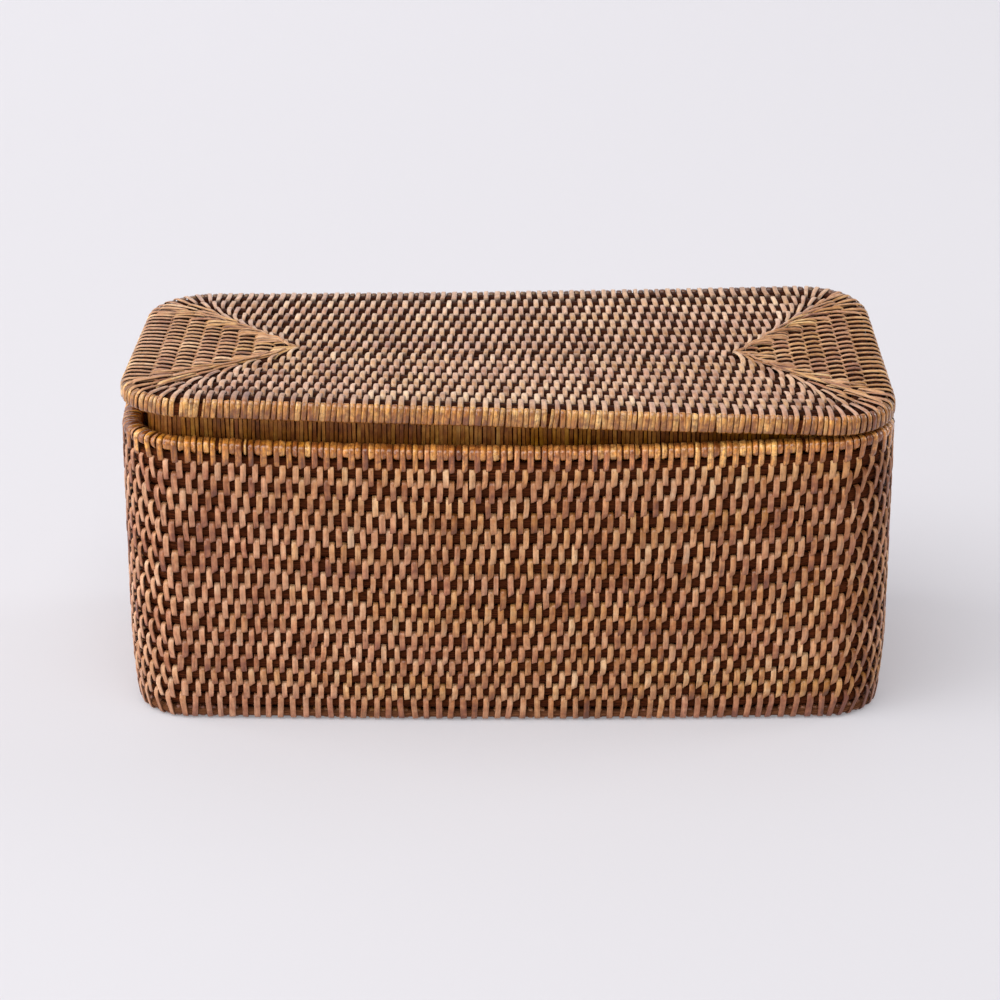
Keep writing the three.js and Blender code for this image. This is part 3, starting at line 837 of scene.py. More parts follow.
for i in range(1, COURSES):
    c, below = courses[i], courses[i - 1]
    track = Track(inset(BASE_OUT, c["e"] + WALL_T / 2))
    rv = c["pitch"] / 2 - 0.22
    drop = 0.8 if i == COURSES - 1 else 0.0        # strips of the last course sit lower under the rim
    zs = c["z"] - drop
    N = WALL_STITCHES
    s = track.length / N * (np.arange(N) + 0.5 * (i % 2) - DRIFT_WALL * i + 0.10 * shared + 0.07 * wobble(N, 60) + RNG.normal(0, 0.035, N))
    p = np.full(N, zs - below["z"])
    de = below["e"] - c["e"]
    lean, corner = wall_slant(track, s)
    f = (0.63 + 0.24 * corner + RNG.normal(0, 0.035, N)) * (1 + drop / p)
    v, n, shear, inside, dive = stitch_profile(ROD_N, rv - drop, p, ROD_N - de, -ROD_N - de, f)
    if i == 1:
        # these run on down over the foot rod and tuck in under it, painted darker as they go under: partly dirt, partly
        # painted shade
        for m, (turn, dark) in zip((11, 12, 13, 14), ((0, 0.0), (36, 0.1), (64, 0.3), (88, 0.9))):
            q = math.radians(turn)
            v[:, m] = -p - 2.36 * math.sin(q)
            n[:, m] = 2.86 * math.cos(q) ** 0.8 - de
            dive[m] = dark
        n[:, 10] = (n[:, 9] + n[:, 11]) / 2
        v[:, 10] = -0.52 * p
        shear = np.zeros_like(shear)
    slant = lean + RNG.normal(0, 0.34, N)
    back = slant + 0.7 * track.length / N
    depth = np.clip(-v / p[:, None], 0, 1.2)
    a = np.where(inside[None] > 0, back[:, None] * depth, slant[:, None] * depth)
    w = (WALL_STRIP * (1 - 0.24 * corner) * np.clip(RNG.normal(1, 0.06, N), 0.82, 1.15))[:, None] * (1 - 0.3 * corner[:, None] * np.clip(depth, 0, 1))
    thick = STRIP_T * np.clip(RNG.normal(1, 0.07, N), 0.8, 1.2)
    k = np.clip(0.32 + 0.25 * (slant < -0.5) + RNG.normal(0, 0.16, N), -0.2, 0.85)
    local, run = lay(v, n, a, w, thick, shear, k)
    buf = Buffer()
    pos = shape_base(on_track(track, s, local, zs))
    h = c["z"] / BASE_HEIGHT
    tone, warm = tones(N, 0.53 + 0.04 * math.sin(h * 7) - 0.06 * (1 - h) - 0.08 * (i == 1), spread=0.075, jitter=0.115 + 0.02 * h, hue=0.16)
    # painted light: each strip is painted lighter and yellower at its top, where light from above catches its bend, and
    # darker and pinker towards its lower end, painted shade and reflection
    painted_top_light = RNG.uniform(0.1, 0.34, N)[:, None] * (0.45 - DOWN)[None]
    # painted light: the right-hand corners are painted darker, as in shade, the left-hand corners paler, where the
    # light falls
    tone = tone + corner * np.where(track.at(s)[0][:, 0] > 0, -0.2, 0.07)
    # painted light: the front is painted darker towards the right, away from the light, and paler and less warm towards
    # the left, a painted sheen where the light falls
    across = track.at(s)[0][:, 0] / BASE_HALF_X
    tone, warm = tone - 0.05 * np.maximum(across, 0), np.maximum(warm + 0.5 * np.minimum(across, 0), 0.1)
    tone, warm = tone[:, None] + painted_top_light, warm[:, None] + 1.5 * painted_top_light - 0.12 * (i == 1)
    buf.strips(pos, tone, warm, dirt_and_shade_mask(N, v.shape[1], dive), run)
    buf.rod(rod_rings(track, c["z"] + 1.3 * drop, ROD_N - ROD_DEEP + 0.3 * drop, rv - 0.1 + 1.3 * drop, shape_base))
    ob = buf.write(f"wall_lashing_{i + 1:02d}", [WALL_M, ROD_M])
    place(ob, "base", "wall_cane", f"wall_course_{i + 1:02d}")

# ---- base rim

c, below = courses[COURSES], courses[COURSES - 1]
track = Track(inset(BASE_OUT, BASE_RIM_DEPTH / 2))
rim_n, rim_v = BASE_RIM_DEPTH / 2 - STRIP_T, 2.35
rim_z = BASE_HEIGHT - rim_v - STRIP_T - 0.06
N = WALL_STITCHES
s_long = track.length / N * (np.arange(N) + 0.5 * (COURSES % 2) - DRIFT_WALL * COURSES + 0.10 * shared + RNG.normal(0, 0.03, N))
de = BASE_RIM_DEPTH / 2 - WALL_T / 2
p = np.full(N, rim_z - below["z"])
f = 0.79 + RNG.normal(0, 0.035, N)
v, n, shear, inside, dive = stitch_profile(rim_n, rim_v, p, ROD_N + de, -ROD_N + de, f, square=0.72)
slant = wall_slant(track, s_long)[0] * 0.7 + RNG.normal(0, 0.2, N)
depth = np.clip(-v / p[:, None], 0, 1.2)
a = np.where(inside[None] > 0, (slant * 0.3)[:, None] * depth, slant[:, None] * depth)
w = np.broadcast_to((2.68 * np.clip(RNG.normal(1, 0.09, N), 0.78, 1.15))[:, None], v.shape)
thick = STRIP_T * np.clip(RNG.normal(1, 0.12, N), 0.75, 1.25)
k = np.clip(0.35 + RNG.normal(0, 0.15, N), -0.2, 0.8)
local, run = lay(v, n, a, w, thick, shear, k, 0.1, ROUND_SECTION)
tone, warm = tones(N, 0.52, spread=0.12, jitter=0.15)
# painted light towards the right of the front
tone = tone + rim_painted_light(track, s_long)
# painted light, as on the walls: lighter and yellower at each strip's top, darker and pinker towards its lower end
painted_top_light = RNG.uniform(0.1, 0.3, N)[:, None] * (0.45 - DOWN)[None]
buf = Buffer()
buf.strips(shape_base(on_track(track, s_long, local, rim_z)), tone[:, None] + painted_top_light, 0.1 + 0.8 * warm[:, None] + painted_top_light, dirt_and_shade_mask(N, v.shape[1], dive), run)
s_short = (s_long + np.append(s_long[1:], s_long[0] + track.length)) / 2
v, n = ring_profile(np.full(N, rim_n), rim_v + RNG.normal(0, 0.12, N), 258, -78, square=0.72)
thin = worn(track, s_short, RIM_BREAKS)
w = np.broadcast_to((2.72 * np.clip(RNG.normal(1, 0.09, N), 0.75, 1.15) * thin)[:, None], v.shape)
s_short = s_short + 0.9 * (1 - thin)
thick = STRIP_T * np.clip(RNG.normal(0.95, 0.2, N), 0.5, 1.4)
a = np.broadcast_to(RNG.normal(0, 0.15, N)[:, None], v.shape) + (slant * 0.4)[:, None] * np.clip(-v / p[:, None], 0, 1)
dive = np.zeros(v.shape[1]); dive[0] = dive[-1] = 1; dive[1] = dive[-2] = 0.5
local, run = lay(v, n, a, w, thick, np.zeros(v.shape[1]), np.zeros(N), 0.22, ROUND_SECTION)
tone, warm = tones(N, 0.58, spread=0.14, jitter=0.17)
# painted light towards the right of the front, as on the long strips
tone = np.clip(tone + rim_painted_light(track, s_short), 0.02, 1)
warm = 0.6 + 0.4 * (warm - 0.5)
buf.strips(shape_base(on_track(track, s_short, local, rim_z)), tone, warm, dirt_and_shade_mask(N, v.shape[1], dive), run)
ob = buf.write("base_rim_wrap", [BASE_RIM_M, ROD_M])
place(ob, "base", "rim_cane", "base_rim_binding")
buf = Buffer()
buf.rod(rod_rings(track, rim_z, rim_n, rim_v, shape_base), mat=0)
ob = buf.write("base_rim_core", [ROD_M])
place(ob, "base", "rod_cane", "base_rim_rod")

# ---- flat coils: floor and lid


def flat_rod(fan, zc, rn, rv_of, shape, q=10, step=4.0):
    m = round(fan.length / step)
    s = np.arange(m) * fan.length / m
    own, inn = fan.at(s)
    d = own - inn
    ln = np.linalg.norm(d, axis=-1, keepdims=True)
    # square to the ring itself
    ahead, _ = fan.at(s + 0.5)
    behind, _ = fan.at(s - 0.5)
    tg = ahead - behind
    tg /= np.maximum(np.linalg.norm(tg, axis=-1, keepdims=True), 1e-9)
    nr = np.stack([tg[:, 1], -tg[:, 0]], -1)
    rv = rv_of((d * nr).sum(-1))
    a = np.linspace(0, 2 * np.pi, q, endpoint=False)
    xy = own[:, None] + nr[:, None] * (rv[:, None] * np.cos(a)[None])[..., None]
    z = np.broadcast_to(zc + rn * np.sin(a), xy.shape[:2])
    return shape(np.concatenate([xy, z[..., None]], -1))


def on_fan(fan, s, local, zc):
    """Strips given in (a, v, n) about stations s. A strip leaves its own rod square and bends
    over towards its place on the ring inside; n is up."""
    own, inn = fan.at(s)
    ahead, _ = fan.at(s + 0.5)
    behind, _ = fan.at(s - 0.5)
    tg = ahead - behind
    tg = tg / np.maximum(np.linalg.norm(tg, axis=-1, keepdims=True), 1e-9)
    out = np.stack([tg[:, 1], -tg[:, 0]], -1)
    p = np.linalg.norm(own - inn, axis=-1)
    mid = own - out * (0.5 * p)[:, None]
    own, inn, mid, out = (q[:, None, None] for q in (own, inn, mid, out))
    v = local[..., 1:2]
    t = -v / p[:, None, None, None]
    u = np.clip(t, 0, 1)
    xy = (1 - u) ** 2 * own + 2 * u * (1 - u) * mid + u * u * inn
    way = 2 * (1 - u) * (own - mid) + 2 * u * (mid - inn)
    way = way / np.maximum(np.linalg.norm(way, axis=-1, keepdims=True), 1e-9)
    xy = xy + out * np.maximum(v, 0) - way * np.maximum(t - 1, 0) * p[:, None, None, None]
    lat = np.stack([way[..., 1], -way[..., 0]], -1)
    xy = xy + lat * local[..., 0:1]
    return np.concatenate([xy, (zc + local[..., 2])[..., None]], -1)


def fan_pitch(fan, s):
    own, inn = fan.at(s)
    p = np.linalg.norm(own - inn, axis=-1)
    o2, i2 = fan.at(s + 0.4)
    o1, i1 = fan.at(s - 0.4)
    squeeze = np.linalg.norm(i2 - i1, axis=-1) / np.maximum(np.linalg.norm(o2 - o1, axis=-1), 1e-6)
    return p, np.clip(squeeze, 0.0, 1.0)


def reach_of(fan, s, outline):
    """Points on a ring, its outward direction there and how far out the outline is."""
    own, _ = fan.at(s)
    tg = fan.at(s + 0.5)[0] - fan.at(s - 0.5)[0]
    tg = tg / np.maximum(np.linalg.norm(tg, axis=-1, keepdims=True), 1e-9)
    out = np.stack([tg[:, 1], -tg[:, 0]], -1)
    reach = np.full(len(s), 8.0)
    for _ in range(6):
        reach = reach - off_outline(outline, own + out * reach[:, None])
    return own, out, reach


# painted light along the strips of the lid rim: darker towards the foot and under it, a painted highlight band near the
# top of the outer face
RIM_PAINTED_LIGHT = np.array([-0.24, -0.24, -0.16, -0.13, -0.1, -0.02, 0.06, 0.1, 0.08] + [0.0] * 7)


def down_lean(v, n, foot, lean):
    """Sideways shift of strips on a rim's outer face: none at the top, lean at the foot."""
    return lean[:, None] * np.clip(1 - (n - foot) / 7.5, 0, 1) * (v > 3.5)


def flat_ring(fan, ring, zc, rn, prev_top, prev_bot, rv_cap, shape, px, py, pfan, strip, f0, tone_mean, drift=0.0, splay=0.0, edge=None, end_mat=0):
    """One coil of a flat panel: returns a buffer with its strips, and its stations. With edge,
    an outline and its foot, the strips run on over the outside of that outline. end_mat is the
    finish of the strips at the short ends."""
    s = fan.places(ring, px, py, pfan, drift)
    N = len(s)
    s = s + RNG.normal(0, 0.2, N)
    p, squeeze = fan_pitch(fan, s)
    rv = np.minimum(p / 2 - 0.25, rv_cap)
    own, inn = fan.at(s)
    along = np.abs(own - inn)[:, 0] / p
    short = (along > 0.6) * float(end_mat > 0)
    f = f0 + RNG.normal(0, 0.03, N) + (0.93 - f0) * (1 - squeeze) + short * RNG.normal(0.2, 0.06, N) * squeeze
    mat = 0
    if edge is None:
        v, n, shear, inside, dive = stitch_profile(rn, rv, p, prev_top, prev_bot, f, square=0.78, pillow=0.9 * squeeze ** 2)
    else:
        foot = edge[1] - zc + FLAT_T + 0.06
        v, n, shear, dive = edge_profile(rn, reach_of(fan, s, edge[0])[2] - FLAT_T - 0.06, foot, p, prev_top, f)
        inside = np.zeros(v.shape[1])
        mat = np.where(np.arange(v.shape[1] - 1) < 8, 3, 0)
    lift = 0.28 * (1 - squeeze) * np.where(np.arange(N) % 2 == 0, 1.0, 0.15) + RNG.uniform(0, 0.08, N)
    if edge is None:
        n = n + np.sign(n) * lift[:, None]
    slant = (RNG.normal(0, 0.25, N) + splay * own[:, 0] / 170) * squeeze
    depth = np.clip(-v / p[:, None], 0, 1.2)
    a = np.where(inside[None] > 0, (slant - 0.45 * px * squeeze)[:, None] * depth, slant[:, None] * depth)
    if edge is not None:
        a = a + down_lean(v, n, foot, RNG.normal(0.7, 0.3, N))
    w0 = strip * np.clip(RNG.normal(1, 0.07, N), 0.82, 1.14) * (1 - 0.19 * along)
    w = w0[:, None] * (1 + (np.clip(squeeze, 0.6, 1)[:, None] - 1) * np.clip(depth, 0, 1)) * (1 - 0.42 * short[:, None] * np.clip(depth, 0, 1))
    thick = FLAT_T * np.clip(RNG.normal(1, 0.07, N), 0.8, 1.2)
    k = np.clip(RNG.normal(0.1, 0.2, N), -0.4, 0.6) * squeeze
    local, run = lay(v, n, a, w, thick, shear, k, section=ROUND_SECTION)
    tone, warm = tones(N, tone_mean, spread=0.07, jitter=0.09)
    # painted light: the strips at the left end are painted paler and those at the right end darker, as the light falls
    # from the left
    tone = tone + short * np.where(own[:, 0] < 0, 0.05, -0.06)       # the left end is paler
    if edge is not None:
        # painted light down the rim face: a highlight band above, shade towards the foot
        tone = tone[:, None] + RIM_PAINTED_LIGHT[None]
        warm = warm[:, None] + (0.62 - warm[:, None]) * (np.arange(v.shape[1]) < 8)
    buf = Buffer()
    pos, rim = shape(on_fan(fan, s, local, zc)), dirt_and_shade_mask(N, v.shape[1], dive)
    for at, m in ((along <= 0.6, mat), (along > 0.6, np.where(np.asarray(mat) == 0, end_mat, mat))):
        if at.any():
            buf.strips(pos[at], tone[at], warm[at], rim[at], run[at], m)
    return buf, s


def leaves(buf, fan, zc, rn, prev_top, shape, tone_mean):
    """Long tapering strips that gather along the mitred corners, on the side of the short ends."""
    s, lift = [], []
    for i, (name, s0, s1, a, b) in enumerate(fan.parts):
        if name != "fan":
            continue
        for j, u in enumerate((0.1, 0.34) if i in (3, 5) else (0.07, 0.24, 0.42)):
            u = u + RNG.normal(0, 0.05)
            s.append(s0 + (s1 - s0) * (u if i in (3, 7) else 1 - u))
            lift.append(0.35 + 0.2 * j)
    s, lift = np.array(s), np.array(lift)
    N = len(s)
    p, squeeze = fan_pitch(fan, s)
    f = RNG.normal(1.48, 0.22, N)
    v, n, shear, inside, dive = stitch_profile(rn, np.minimum(p / 2 - 0.25, 4.2), p, prev_top, -prev_top, f, square=0.78)
    n = n + np.sign(n) * (lift[:, None] + 0.35 * np.clip(-v / p[:, None], 0, 1))
    keep = slice(4, None)
    v, n, shear, dive = v[:, keep], n[:, keep], shear[keep], dive[keep]
    depth = np.clip(-v / (f * p)[:, None], 0, 1)
    w = RNG.normal(2.1, 0.25, N)[:, None] * (1 - 0.72 * depth ** 1.3)
    local, run = lay(v, n, np.zeros_like(v), w, np.full(N, FLAT_T), np.zeros_like(shear), np.zeros(N), 0.1, ROUND_SECTION)
    tone, warm = tones(N, tone_mean, spread=0.06, jitter=0.12)
    buf.strips(shape(on_fan(fan, s, local, zc)), tone, np.clip(warm + 0.15, 0, 1), dirt_and_shade_mask(N, v.shape[1], dive), run, 2)


def lerp(a, b, t):
    return a + (b - a) * t


def spine_piece(x0, x1, y, zc, rn, rv, shape, strip, pitch, tone_mean, parity=0.0):
    """The straight middle rod, with its own short wraps."""
    buf = Buffer()
    k0, k1 = math.ceil(x0 / pitch - parity), math.floor(x1 / pitch - parity)
    xs = (np.arange(k0, k1 + 1) + parity) * pitch + RNG.normal(0, 0.2, k1 - k0 + 1)
    N = len(xs)
    v, n = ring_profile(np.full(N, rn), np.full(N, rv), 262, -82)
    w = np.broadcast_to((strip * np.clip(RNG.normal(1, 0.08, N), 0.8, 1.15))[:, None], v.shape)
    thick = FLAT_T * np.clip(RNG.normal(0.95, 0.08, N), 0.75, 1.15)
    a = np.broadcast_to(RNG.normal(0, 0.3, N)[:, None], v.shape) + 0.12 * v
    dive = np.zeros(v.shape[1]); dive[0] = dive[-1] = 1; dive[1] = dive[-2] = 0.6
    local, run = lay(v, n, a, w, thick, np.zeros(v.shape[1]), np.zeros(N))
    x = xs[:, None, None] + local[..., 0]
    yy = y + local[..., 1]
    pos = np.stack([x, yy, zc + local[..., 2]], -1)
    tone, warm = tones(N, tone_mean)
    buf.strips(shape(pos), tone, warm, dirt_and_shade_mask(N, v.shape[1], dive), run)
    # rod with rounded ends
    q = 10
    t = np.linspace(0, 1, 45)
    xs = x0 - rv + (x1 - x0 + 2 * rv) * t
    end = np.minimum(xs - (x0 - rv), (x1 + rv) - xs) / rv
    sc = np.sqrt(np.clip(1 - (1 - np.clip(end, 0.02, 1)) ** 2, 0.02, 1))
    an = np.linspace(0, 2 * np.pi, q, endpoint=False)
    ring = np.stack([np.broadcast_to(xs[:, None], (len(xs), q)),
                     y - rv * sc[:, None] * np.cos(an)[None],
                     zc + rn * sc[:, None] * np.sin(an)[None]], -1)
    buf.rod(shape(ring), closed=False)
    return buf


# floor
first = inset(BASE_OUT, courses[0]["e"] + WALL_T)
floor_edge = inset(first, GAP / 2)
fsx = floor_edge[1] - floor_edge[3]
floor_spine = rect(-fsx - SPINE_HALF, fsx + SPINE_HALF, -SPINE_HALF, SPINE_HALF, SPINE_HALF - 0.2, SPINE_HALF - 0.2)
floor_centre = [rect(-fsx, fsx, 0, 0, 0.01, 0.01)]
for k in range(1, FLOOR_COILS + 1):
    floor_centre.append(lerp(floor_spine, floor_edge, (k - 0.5) / FLOOR_COILS))
floor_centre.append(inset(BASE_OUT, courses[0]["e"] + WALL_T / 2))
F_N, F_Z = FLOOR_T / 2 - FLAT_T - 0.4, FLOOR_T / 2 + 0.05
C1_N, C1_Z = (courses[0]["pitch"] - GAP) / 2 - FLAT_T - 0.32, courses[0]["z"]
buf = spine_piece(-fsx, fsx, 0.0, F_Z, F_N, 3.2, shape_base, 2.5, LID_PITCH_X, 0.5)
place(buf.write("floor_spine_wrap", [FLOOR_M, ROD_M]), "base", "floor_cane", "floor_spine")
for k in range(1, FLOOR_COILS + 2):
    fan = Fan(floor_centre[k], floor_centre[k - 1])
    last = k == FLOOR_COILS + 1
    rn, zc = (C1_N, C1_Z) if last else (F_N, F_Z)
    dz = F_Z - zc
    buf, s = flat_ring(fan, k, zc, rn, F_N + dz, -F_N + dz, 1.5 if last else 3.95, shape_base,
                       LID_PITCH_X, LID_PITCH_Y, 5.0, WALL_STRIP if last else LID_STRIP, 0.66, 0.15 if last else 0.45)
    cap = 2.75 if last else 3.95
    buf.rod(flat_rod(fan, zc, rn - FLAT_DEEP, lambda d: np.clip(d / 2 - 0.25, 1.5, cap), shape_base))
    if last:
        place(buf.write("wall_lashing_01", [WALL_M, FOOT_M]), "base", "wall_cane", "wall_course_01")
    else:
        place(buf.write(f"floor_lashing_{k}", [FLOOR_M, ROD_M]), "base", "floor_cane", f"floor_coil_{k}")

# lid
lid_edge = inset(LID_OUT, LID_RIM_DEPTH + GAP / 2)
lid_spine = rect(SPINE_X0 - SPINE_HALF, SPINE_X1 + SPINE_HALF, SPINE_Y - SPINE_HALF, SPINE_Y + SPINE_HALF, SPINE_HALF - 0.2, SPINE_HALF - 0.2)
lid_centre = [rect(SPINE_X0, SPINE_X1, SPINE_Y, SPINE_Y, 0.01, 0.01)]
for k in range(1, LID_COILS + 1):
    t = (k - 0.5) / LID_COILS
    o = lerp(lid_spine, lid_edge, t)
    o[4:] = COIL_R + (lid_edge[4:] - COIL_R) * t ** COIL_POWER      # mitred nearly square near the spine
    lid_centre.append(o)
L_N, L_Z = LID_T / 2 - FLAT_T, -LID_T / 2
buf = spine_piece(SPINE_X0, SPINE_X1, SPINE_Y, L_Z, L_N, 3.2, shape_lid, 2.5, LID_PITCH_X, 0.5)
place(buf.write("lid_spine_wrap", [LID_M, LID_ROD_M]), "lid", "lid_cane", "lid_spine")
for k in range(1, LID_COILS + 1):
    fan = Fan(lid_centre[k], lid_centre[k - 1])
    buf, s = flat_ring(fan, k, L_Z, L_N, L_N, -L_N, 4.5, shape_lid,
                       LID_PITCH_X, LID_PITCH_Y, 4.7, LID_STRIP if k < LID_COILS else 2.45, 0.59, 0.55, DRIFT_LID, 1.5,
                       (LID_OUT, -LID_RIM_HEIGHT) if k == LID_COILS else None, 2)
    if k >= 2:
        leaves(buf, fan, L_Z, L_N, L_N, shape_lid, 0.58)
    buf.rod(flat_rod(fan, L_Z, L_N - FLAT_DEEP, lambda d: np.clip(d / 2 - 0.25, 1.5, 4.5), shape_lid))
    place(buf.write(f"lid_lashing_{k}", [LID_M, LID_ROD_M, LID_END_M, RIM_M][: 4 if k == LID_COILS else 3]), "lid", "lid_cane", f"lid_coil_{k}")

# lid rim: a lath on edge. The strips of the last coil run down over it, and short wraps fill
# the places between them.
own, out, reach = reach_of(fan, s, LID_OUT)
at = own + out * reach[:, None]
room = np.linalg.norm(np.roll(at, -1, 0) - at, axis=-1)
step = np.append(s[1:], s[0] + fan.length) - s
fill = np.maximum(1, np.round((room - 2.45) / 2.65)).astype(int)
s = np.concatenate([l + d * (1.225 + (r - 2.45) * (np.arange(m) + 0.5) / m) / r for l, d, r, m in zip(s, step, room, fill)])
w0 = np.concatenate([np.full(m, (r - 2.45) / m) for r, m in zip(room, fill)])
N = len(s)
s = s + RNG.normal(0, 0.05, N)
own, out, reach = reach_of(fan, s, LID_OUT)
here = own + out * reach[:, None]
for x in LID_RIM_BREAKS:                       # wraps worn thin on the front
    k = np.argmin(np.abs(here[:, 0] - x) + 1e3 * (out[:, 1] > -0.5))
    s[k] += 0.28 * w0[k]
    w0[k] *= 0.5
own, out, reach = reach_of(fan, s, LID_OUT)
side = np.clip((out[:, 1] + 0.9) / 0.5, 0, 1)  # none on the front, all on the ends and back
p, squeeze = fan_pitch(fan, s)
foot = -LID_RIM_HEIGHT - L_Z + FLAT_T + 0.06
end = (reach - 2.7 + RNG.normal(0, 0.22, N)) * (1 - side) + 2.8 * side
v, n, shear, dive = edge_profile(L_N, reach - FLAT_T - 0.06, foot, p, L_N, np.full(N, 0.6), end=end, sink=side * np.where(out[:, 1] > 0.5, 0.15, 0.5))
a = down_lean(v, n, foot, RNG.normal(0.7, 0.3, N)) + RNG.normal(0, 0.12, N)[:, None] * (v < 4)
w = np.broadcast_to((np.clip(w0, 0.8, 3.0) * np.clip(RNG.normal(0.92, 0.06, N), 0.76, 1.05))[:, None], v.shape)
thick = FLAT_T * np.clip(RNG.normal(1.0, 0.16, N), 0.65, 1.35)
local, run = lay(v, n, a, w, thick, np.zeros(v.shape[1]), np.zeros(N), 0.1, ROUND_SECTION)
tone, warm = tones(N, 0.54, spread=0.1, jitter=0.17)
tone = tone - 0.09 * own[:, 0] / LID_HALF_X
warm = 0.62 + 0.3 * (warm - 0.5)
buf = Buffer()
rim_dirt_and_shade = dirt_and_shade_mask(N, v.shape[1], dive)
# painted shade: on the ends and back the tops of the wraps are painted dark, for the shade between the strips seen from
# above
rim_dirt_and_shade[:, 7:] = np.maximum(rim_dirt_and_shade[:, 7:], 0.95 * side[:, None, None])     # dark between the strips from above
buf.strips(shape_lid(on_fan(fan, s, local, L_Z)), tone[:, None] + RIM_PAINTED_LIGHT[None], warm, rim_dirt_and_shade, run)
place(buf.write("lid_rim_wrap", [RIM_M, ROD_M]), "lid", "rim_cane", "lid_rim_binding")
buf = Buffer()
track = Track(inset(LID_OUT, LID_RIM_DEPTH / 2))
buf.rod(rod_rings(track, -LID_RIM_HEIGHT / 2 - 0.9, LID_RIM_DEPTH / 2 - 0.8, LID_RIM_HEIGHT / 2 - 1.7, shape_lid), mat=0)
place(buf.write("lid_rim_core", [ROD_M]), "lid", "rod_cane", "lid_rim_rod")

# collar: upright strips folded round the foot of a lath
collar_top = -LID_T - GAP
collar_foot = collar_top - COLLAR_DEPTH
cz = (collar_top + collar_foot) / 2
half = COLLAR_DEPTH / 2
ctrack = Track(inset(LID_OUT, COLLAR_INSET + COLLAR_T / 2))
N = int(round(ctrack.length / COLLAR_PITCH))
s = ctrack.length / N * (np.arange(N) + RNG.normal(0, 0.05, N))
cn = COLLAR_T / 2 - 0.85
pv = np.array([half - 0.1, half * 0.3, -half * 0.5, -half + 1.3, -half + 0.75, -half + 0.6, -half + 0.75, -half + 1.3, -half * 0.5, half * 0.3, half - 0.1])
pn = np.array([-cn, -cn, -cn, -cn, -cn * 0.62, 0, cn * 0.62, cn, cn, cn, cn])
# this strip runs from the inside down, round the foot and up the outside
v = np.broadcast_to(pv, (N, len(pv))).copy()
n = np.broadcast_to(pn, (N, len(pn))).copy()
bulge = RNG.normal(0, 0.14, N)
n[:, 8:10] += bulge[:, None]
v, n = v[:, ::-1], n[:, ::-1]
# outwards is +n on the way down here, so the normal rule gives the outer face
mvec = -1
w = np.broadcast_to((COLLAR_STRIP * np.clip(RNG.normal(1, 0.07, N), 0.8, 1.15))[:, None], v.shape)
thick = 0.85 * np.clip(RNG.normal(1, 0.1, N), 0.7, 1.2)
a = (RNG.normal(0, 0.22, N)[:, None] * (v / half))
dive = np.zeros(v.shape[1])
local, run = lay(v, n, a, w, thick, np.zeros(v.shape[1]), np.zeros(N))
tone, warm = tones(N, 0.43, spread=0.08, jitter=0.13, hue=0.08)
buf = Buffer()
buf.strips(shape_lid(on_track(ctrack, s, local, cz)), tone, warm, dirt_and_shade_mask(N, v.shape[1], dive), run)
place(buf.write("collar_wrap", [COLLAR_M, ROD_M]), "lid", "collar_cane", "collar_binding")
buf = Buffer()
st = np.arange(0, ctrack.length, ctrack.length / round(ctrack.length / 4))
pp, nn = ctrack.at(st)
sec = np.array([[cn - 0.05, -half + 1.0], [cn - 0.05, half - 0.2], [-cn + 0.05, half - 0.2], [-cn + 0.05, -half + 1.0]])
xy = pp[:, None] + nn[:, None] * sec[None, :, :1]
zz = np.broadcast_to(cz + sec[:, 1], xy.shape[:2])
buf.rod(shape_lid(np.concatenate([xy, zz[..., None]], -1)), mat=0)
place(buf.write("collar_core", [ROD_M]), "lid", "rod_cane", "collar_lath")

# ------------------------------------------------------------------ stage

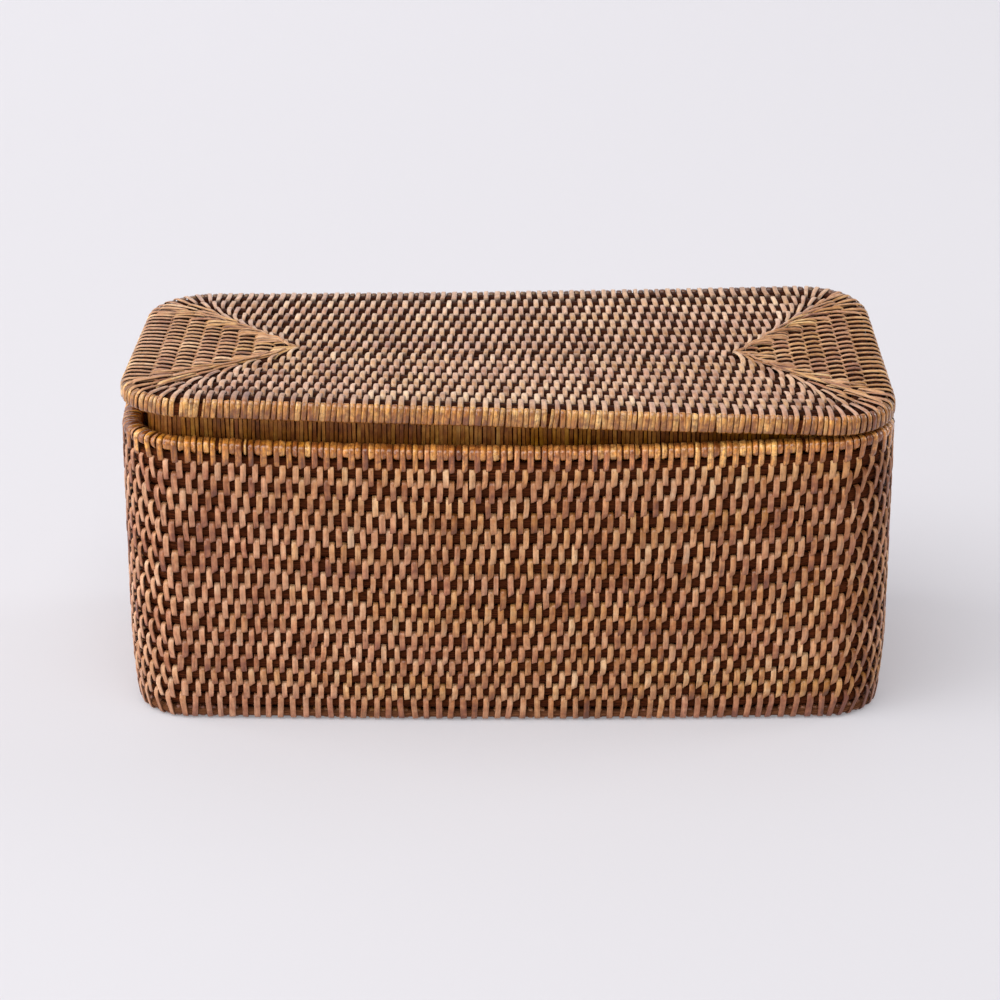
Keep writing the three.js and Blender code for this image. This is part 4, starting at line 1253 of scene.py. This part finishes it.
# paper sweep: flat under and around the box, rising far behind it
bend = [(1.5 + 0.6 * math.sin(q), 0.6 - 0.6 * math.cos(q)) for q in np.linspace(0, math.pi / 2, 13)]
line = [(-6.0, 0.0)] + bend + [(2.1, 3.2)]
me = bpy.data.meshes.new("floor")
me.from_pydata([(x, y, z) for y, z in line for x in (-6, 6)], [], [(2 * i, 2 * i + 1, 2 * i + 3, 2 * i + 2) for i in range(len(line) - 1)])
for face in me.polygons:
    face.use_smooth = True
floor = bpy.data.objects.new("floor", me)
bpy.context.scene.collection.objects.link(floor)
fm = bpy.data.materials.new("paper")
fm.use_nodes = True
fb = fm.node_tree.nodes["Principled BSDF"]
fb.inputs["Base Color"].default_value = (0.468, 0.460, 0.482, 1)
fb.inputs["Emission Color"].default_value = (0.98, 0.966, 1.01, 1)
fb.inputs["Emission Strength"].default_value = 0.23
fb.inputs["Roughness"].default_value = 0.9
fb.inputs["Specular IOR Level"].default_value = 0.15
me.materials.append(fm)

world = bpy.data.worlds.new("studio")
bpy.context.scene.world = world
world.use_nodes = True
bg = world.node_tree.nodes["Background"]
bg.inputs["Color"].default_value = (0.96, 0.96, 1.0, 1)
bg.inputs["Strength"].default_value = 0.38


def area(name, loc, target, size, power, color=(1, 1, 1), spread=180):
    d = bpy.data.lights.new(name, "AREA")
    d.shape = "RECTANGLE"
    d.size, d.size_y = size
    d.spread = math.radians(spread)
    d.energy = power
    d.color = color
    o = bpy.data.objects.new(name, d)
    o.location = loc
    v = np.array(target) - np.array(loc)
    v = v / np.linalg.norm(v)
    o.rotation_euler = (math.acos(-v[2]), 0, math.atan2(v[1], v[0]) - math.pi / 2)
    bpy.context.scene.collection.objects.link(o)
    return o


area("over", (-0.5, -1.05, 2.85), (0, 0, 0.07), (3.0, 2.2), 62, (1.0, 0.99, 0.985))
area("key", (-3.0, -0.4, 1.8), (0, 0, 0.07), (3.6, 3.0), 78, (1.0, 0.985, 0.965))
area("front", (-2.0, -2.0, 0.8), (0, 0, 0.08), (1.4, 0.9), 2.2, (1.0, 0.985, 0.97), 70)
area("fill", (2.2, 0.7, 1.0), (0.42, 0.25, 0), (1.0, 0.8), 1.3, (1, 1, 1), 50)
area("rear", (0.0, 1.3, 1.2), (0.0, 2.0, 0.4), (3.4, 0.8), 8.5)

cam = bpy.data.cameras.new("camera")
cam.sensor_width = 36.0
cam.lens = 124.85
cam.clip_end = 50
camera = bpy.data.objects.new("camera", cam)
camera.location = (-0.00373, -1.48745, 0.71782)
camera.rotation_euler = (math.radians(66.72), 0, 0)
bpy.context.scene.collection.objects.link(camera)
bpy.context.scene.camera = camera
bpy.context.scene.view_settings.view_transform = "Standard"
